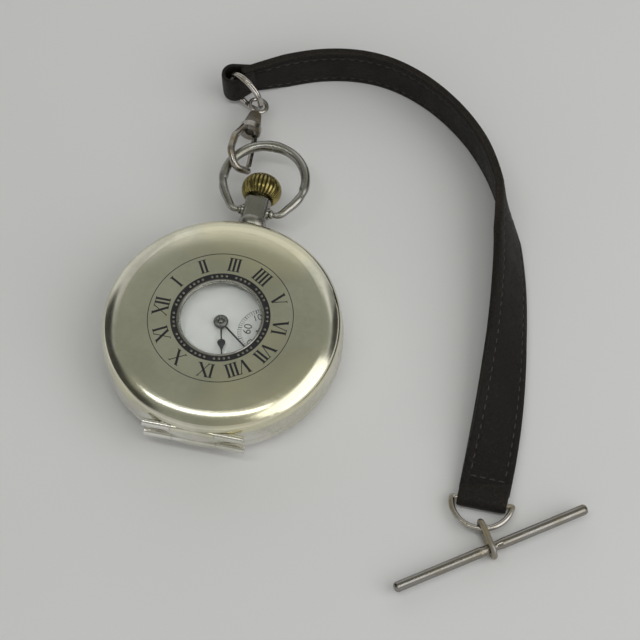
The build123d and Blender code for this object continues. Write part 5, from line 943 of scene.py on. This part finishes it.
def make_hand_boss(looks):
    """Polished steel boss on the hands: a rounded collar and the post's end in it, both turned.

    The collar's top falls from its hole to its edge as a quarter ellipse, and the post's end is a low dome."""
    edge = np.linspace(0, math.pi / 2, 7)
    hole, outside, height, under, pole = looks.boss_hole, looks.boss_radius, looks.boss_height, -0.0001, 0.000004
    crest, post = hole * 1.25, hole * 0.87
    collar = [(crest + (outside - crest) * math.sin(turn), height * math.cos(turn)) for turn in edge]
    collar = [(hole, under), (hole, height * 0.55), *collar, (outside, under)]
    tip = [(post * math.sin(turn) + pole, height * (0.55 + 0.73 * math.cos(turn))) for turn in edge]
    tip += [(post, under), (pole, under)]
    surface = on_level(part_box("minute_hand")[1].z)
    parts = [turned_ring(profile, surface, 64) for profile in (collar, tip)]
    steel = metal("Boss steel", (0.21, 0.215, 0.20), (0.15, 0.15, 0.14), 0.2, (600.0, 0.4, 0.7), 0.3)
    new_piece("hand_boss", parts, steel, "centre")


def make_window_rim(looks):
    """Thin rolled rim where the lid's glass meets its window: an ellipse turned round the window."""
    turn = turns(16)
    profile = np.column_stack([looks.rim_radius + looks.rim_width / 2 * np.cos(turn),
                               looks.rim_height / 2 * np.sin(turn)])
    height = float(lid_height(looks.ring_inside)) - 0.00026
    silver = metal("Rim silver", (0.40, 0.395, 0.37), (0.26, 0.255, 0.23), 0.24, (300.0, 0.35, 0.7), 0.2)
    new_piece("window_rim", [turned_ring(profile, on_level(height))], silver, "lid")


# Stage

def make_stage(looks):
    """Pale table, soft lamps, a soft room and the camera."""
    scene = bpy.context.scene
    scene.view_settings.view_transform = "Standard"
    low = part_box("back_cover")[0].z
    half, lines = 1.6, 9
    x, y = np.mgrid[-half:half:lines * 1j, -half:half:lines * 1j]
    mesh = bpy.data.meshes.new("table")
    corner = (np.arange(lines - 1)[:, None] * lines + np.arange(lines - 1)).ravel()
    faces = np.column_stack([corner, corner + lines, corner + lines + 1, corner + 1])
    mesh.from_pydata(np.column_stack([x.ravel(), y.ravel(), np.full(x.size, low)]).tolist(), [], faces.tolist())
    mesh.materials.append(floor_finish(looks))
    table = bpy.data.objects.new("table", mesh)
    scene.collection.objects.link(table)
    for name, place, target, size, power, colour in (
            ("Window", (0.62, -0.10, 0.52), (0.02, 0.02, 0), (0.70, 0.80), looks.window_power, (1, 0.995, 0.985)),
            ("Ceiling strip", (-0.10, -0.13, 0.82), (-0.10, 0, 0), (0.75, 0.08), looks.strip_power, (1, 1, 1)),
            ("Far fill", (0.05, 0.85, 0.55), (0, 0, 0), (1.3, 0.5), looks.fill_power, (1, 0.995, 0.98))):
        lamp = bpy.data.lights.new(name, "AREA")
        lamp.shape = "RECTANGLE"
        lamp.size, lamp.size_y = size
        lamp.energy = power
        lamp.color = colour
        light = bpy.data.objects.new(name, lamp)
        light.location = place
        light.rotation_euler = (Vector(target) - Vector(place)).to_track_quat("-Z", "Y").to_euler()
        scene.collection.objects.link(light)
    make_room(scene)
    camera = bpy.data.cameras.new("Camera")
    camera.lens = looks.lens
    camera.sensor_width = 36.0
    camera.clip_start, camera.clip_end = 0.01, 20
    view = bpy.data.objects.new("Camera", camera)
    turn = (Matrix.Rotation(looks.azimuth, 4, "Z") @ Matrix.Rotation(math.pi / 2 - looks.elevation, 4, "X")
            @ Matrix.Rotation(looks.roll, 4, "Z"))
    view.matrix_world = (Matrix.Translation(Vector(CAMERA_TARGET) * MM) @ turn
                         @ Matrix.Translation((0, 0, looks.distance)))
    scene.collection.objects.link(view)
    scene.camera = view


def make_room(scene):
    """Soft room: paler low down, greyer overhead, dark in a few corners, and plain pale to the camera."""
    world = bpy.data.worlds.new("Room")
    scene.world = world
    world.use_nodes = True
    world.node_tree.nodes.clear()
    wiring = Wiring(world.node_tree)
    direction = wiring.add("ShaderNodeTexCoord").outputs["Generated"]
    up = wiring.add("ShaderNodeSeparateXYZ", direction).outputs["Z"]
    skirting, wall, ceiling, dark, seen = (
        (0.66, 0.66, 0.65), (0.50, 0.50, 0.49), (0.275, 0.28, 0.242), (0.045, 0.045, 0.042), (0.53, 0.53, 0.525))
    air = wiring.mix(wiring.band(up, 0.05, 0.50), skirting, wall)
    air = wiring.mix(wiring.band(up, 0.60, 0.74), air, ceiling)
    for toward, edge, heart in DARK_CORNERS:
        near = wiring.add("ShaderNodeVectorMath", direction, toward, operation="DOT_PRODUCT").outputs["Value"]
        air = wiring.mix(wiring.band(near, edge, heart), air, dark)
    path = wiring.add("ShaderNodeLightPath").outputs
    shown = wiring.mix(path["Is Camera Ray"], air, seen)
    back = wiring.add("ShaderNodeBackground", shown, 1.0)
    out = wiring.add("ShaderNodeOutputWorld")
    wiring.put(back.outputs[0], out.inputs["Surface"])


# Operators, panel and run

class WATCH_OT_stage(bpy.types.Operator):
    """Add the table, the lights, the room and the camera"""
    bl_idname = "watch.stage"
    bl_label = "Stage"

    def execute(self, context):
        make_stage(context.scene.watch_stage)
        return {"FINISHED"}


class WATCH_OT_strap(bpy.types.Operator):
    """Sew the leather strap along its route"""
    bl_idname = "watch.strap"
    bl_label = "Leather strap"

    def execute(self, context):
        make_strap(context.scene.watch_strap)
        return {"FINISHED"}


class WATCH_OT_lid(bpy.types.Operator):
    """Engrave the lid's numerals, circle and minute ring"""
    bl_idname = "watch.lid"
    bl_label = "Lid engraving"

    def execute(self, context):
        make_lid_engraving(context.scene.watch_lid)
        return {"FINISHED"}


class WATCH_OT_dial(bpy.types.Operator):
    """Print the dial's numerals and tracks"""
    bl_idname = "watch.dial"
    bl_label = "Dial printing"

    def execute(self, context):
        make_dial_printing(context.scene.watch_dial)
        return {"FINISHED"}


class WATCH_OT_clip(bpy.types.Operator):
    """Knurl the clip's sleeve"""
    bl_idname = "watch.clip"
    bl_label = "Clip knurling"

    def execute(self, context):
        make_clip_knurling(context.scene.watch_metal)
        return {"FINISHED"}


class WATCH_OT_window(bpy.types.Operator):
    """Roll the rim round the lid's window"""
    bl_idname = "watch.window"
    bl_label = "Window rim"

    def execute(self, context):
        make_window_rim(context.scene.watch_lid)
        return {"FINISHED"}


class WATCH_OT_boss(bpy.types.Operator):
    """Set the polished boss on the hands' post"""
    bl_idname = "watch.boss"
    bl_label = "Hands' boss"

    def execute(self, context):
        make_hand_boss(context.scene.watch_dial)
        return {"FINISHED"}


class WATCH_OT_finishes(bpy.types.Operator):
    """Give every part of the frame its finish"""
    bl_idname = "watch.finishes"
    bl_label = "Finishes"

    def execute(self, context):
        make_finishes(context.scene)
        return {"FINISHED"}


OPERATORS = (WATCH_OT_stage, WATCH_OT_strap, WATCH_OT_finishes, WATCH_OT_lid, WATCH_OT_window,
             WATCH_OT_dial, WATCH_OT_boss, WATCH_OT_clip)


class WATCH_PT_panel(bpy.types.Panel):
    """Every step of the watch, and the values that it reads"""
    bl_label = "Half hunter watch"
    bl_idname = "WATCH_PT_panel"
    bl_space_type = "VIEW_3D"
    bl_region_type = "UI"
    bl_category = "Watch"

    def draw(self, context):
        for operator in OPERATORS:
            self.layout.operator(operator.bl_idname)
        for name, group in GROUPS.items():
            box = self.layout.box()
            for value in group.__annotations__:
                box.prop(getattr(context.scene, name), value)


def register():
    for group in (*GROUPS.values(), *OPERATORS, WATCH_PT_panel):
        bpy.utils.register_class(group)
    for name, group in GROUPS.items():
        setattr(bpy.types.Scene, name, PointerProperty(type=group))


def unregister():
    for name in GROUPS:
        delattr(bpy.types.Scene, name)
    for group in (WATCH_PT_panel, *reversed(OPERATORS), *reversed(list(GROUPS.values()))):
        bpy.utils.unregister_class(group)


def main():
    """Run every operator in order."""
    register()
    for operator in OPERATORS:
        getattr(bpy.ops.watch, operator.bl_idname.split(".")[1])()
    bpy.context.view_layer.update()


if __name__ == "__main__":
    main()
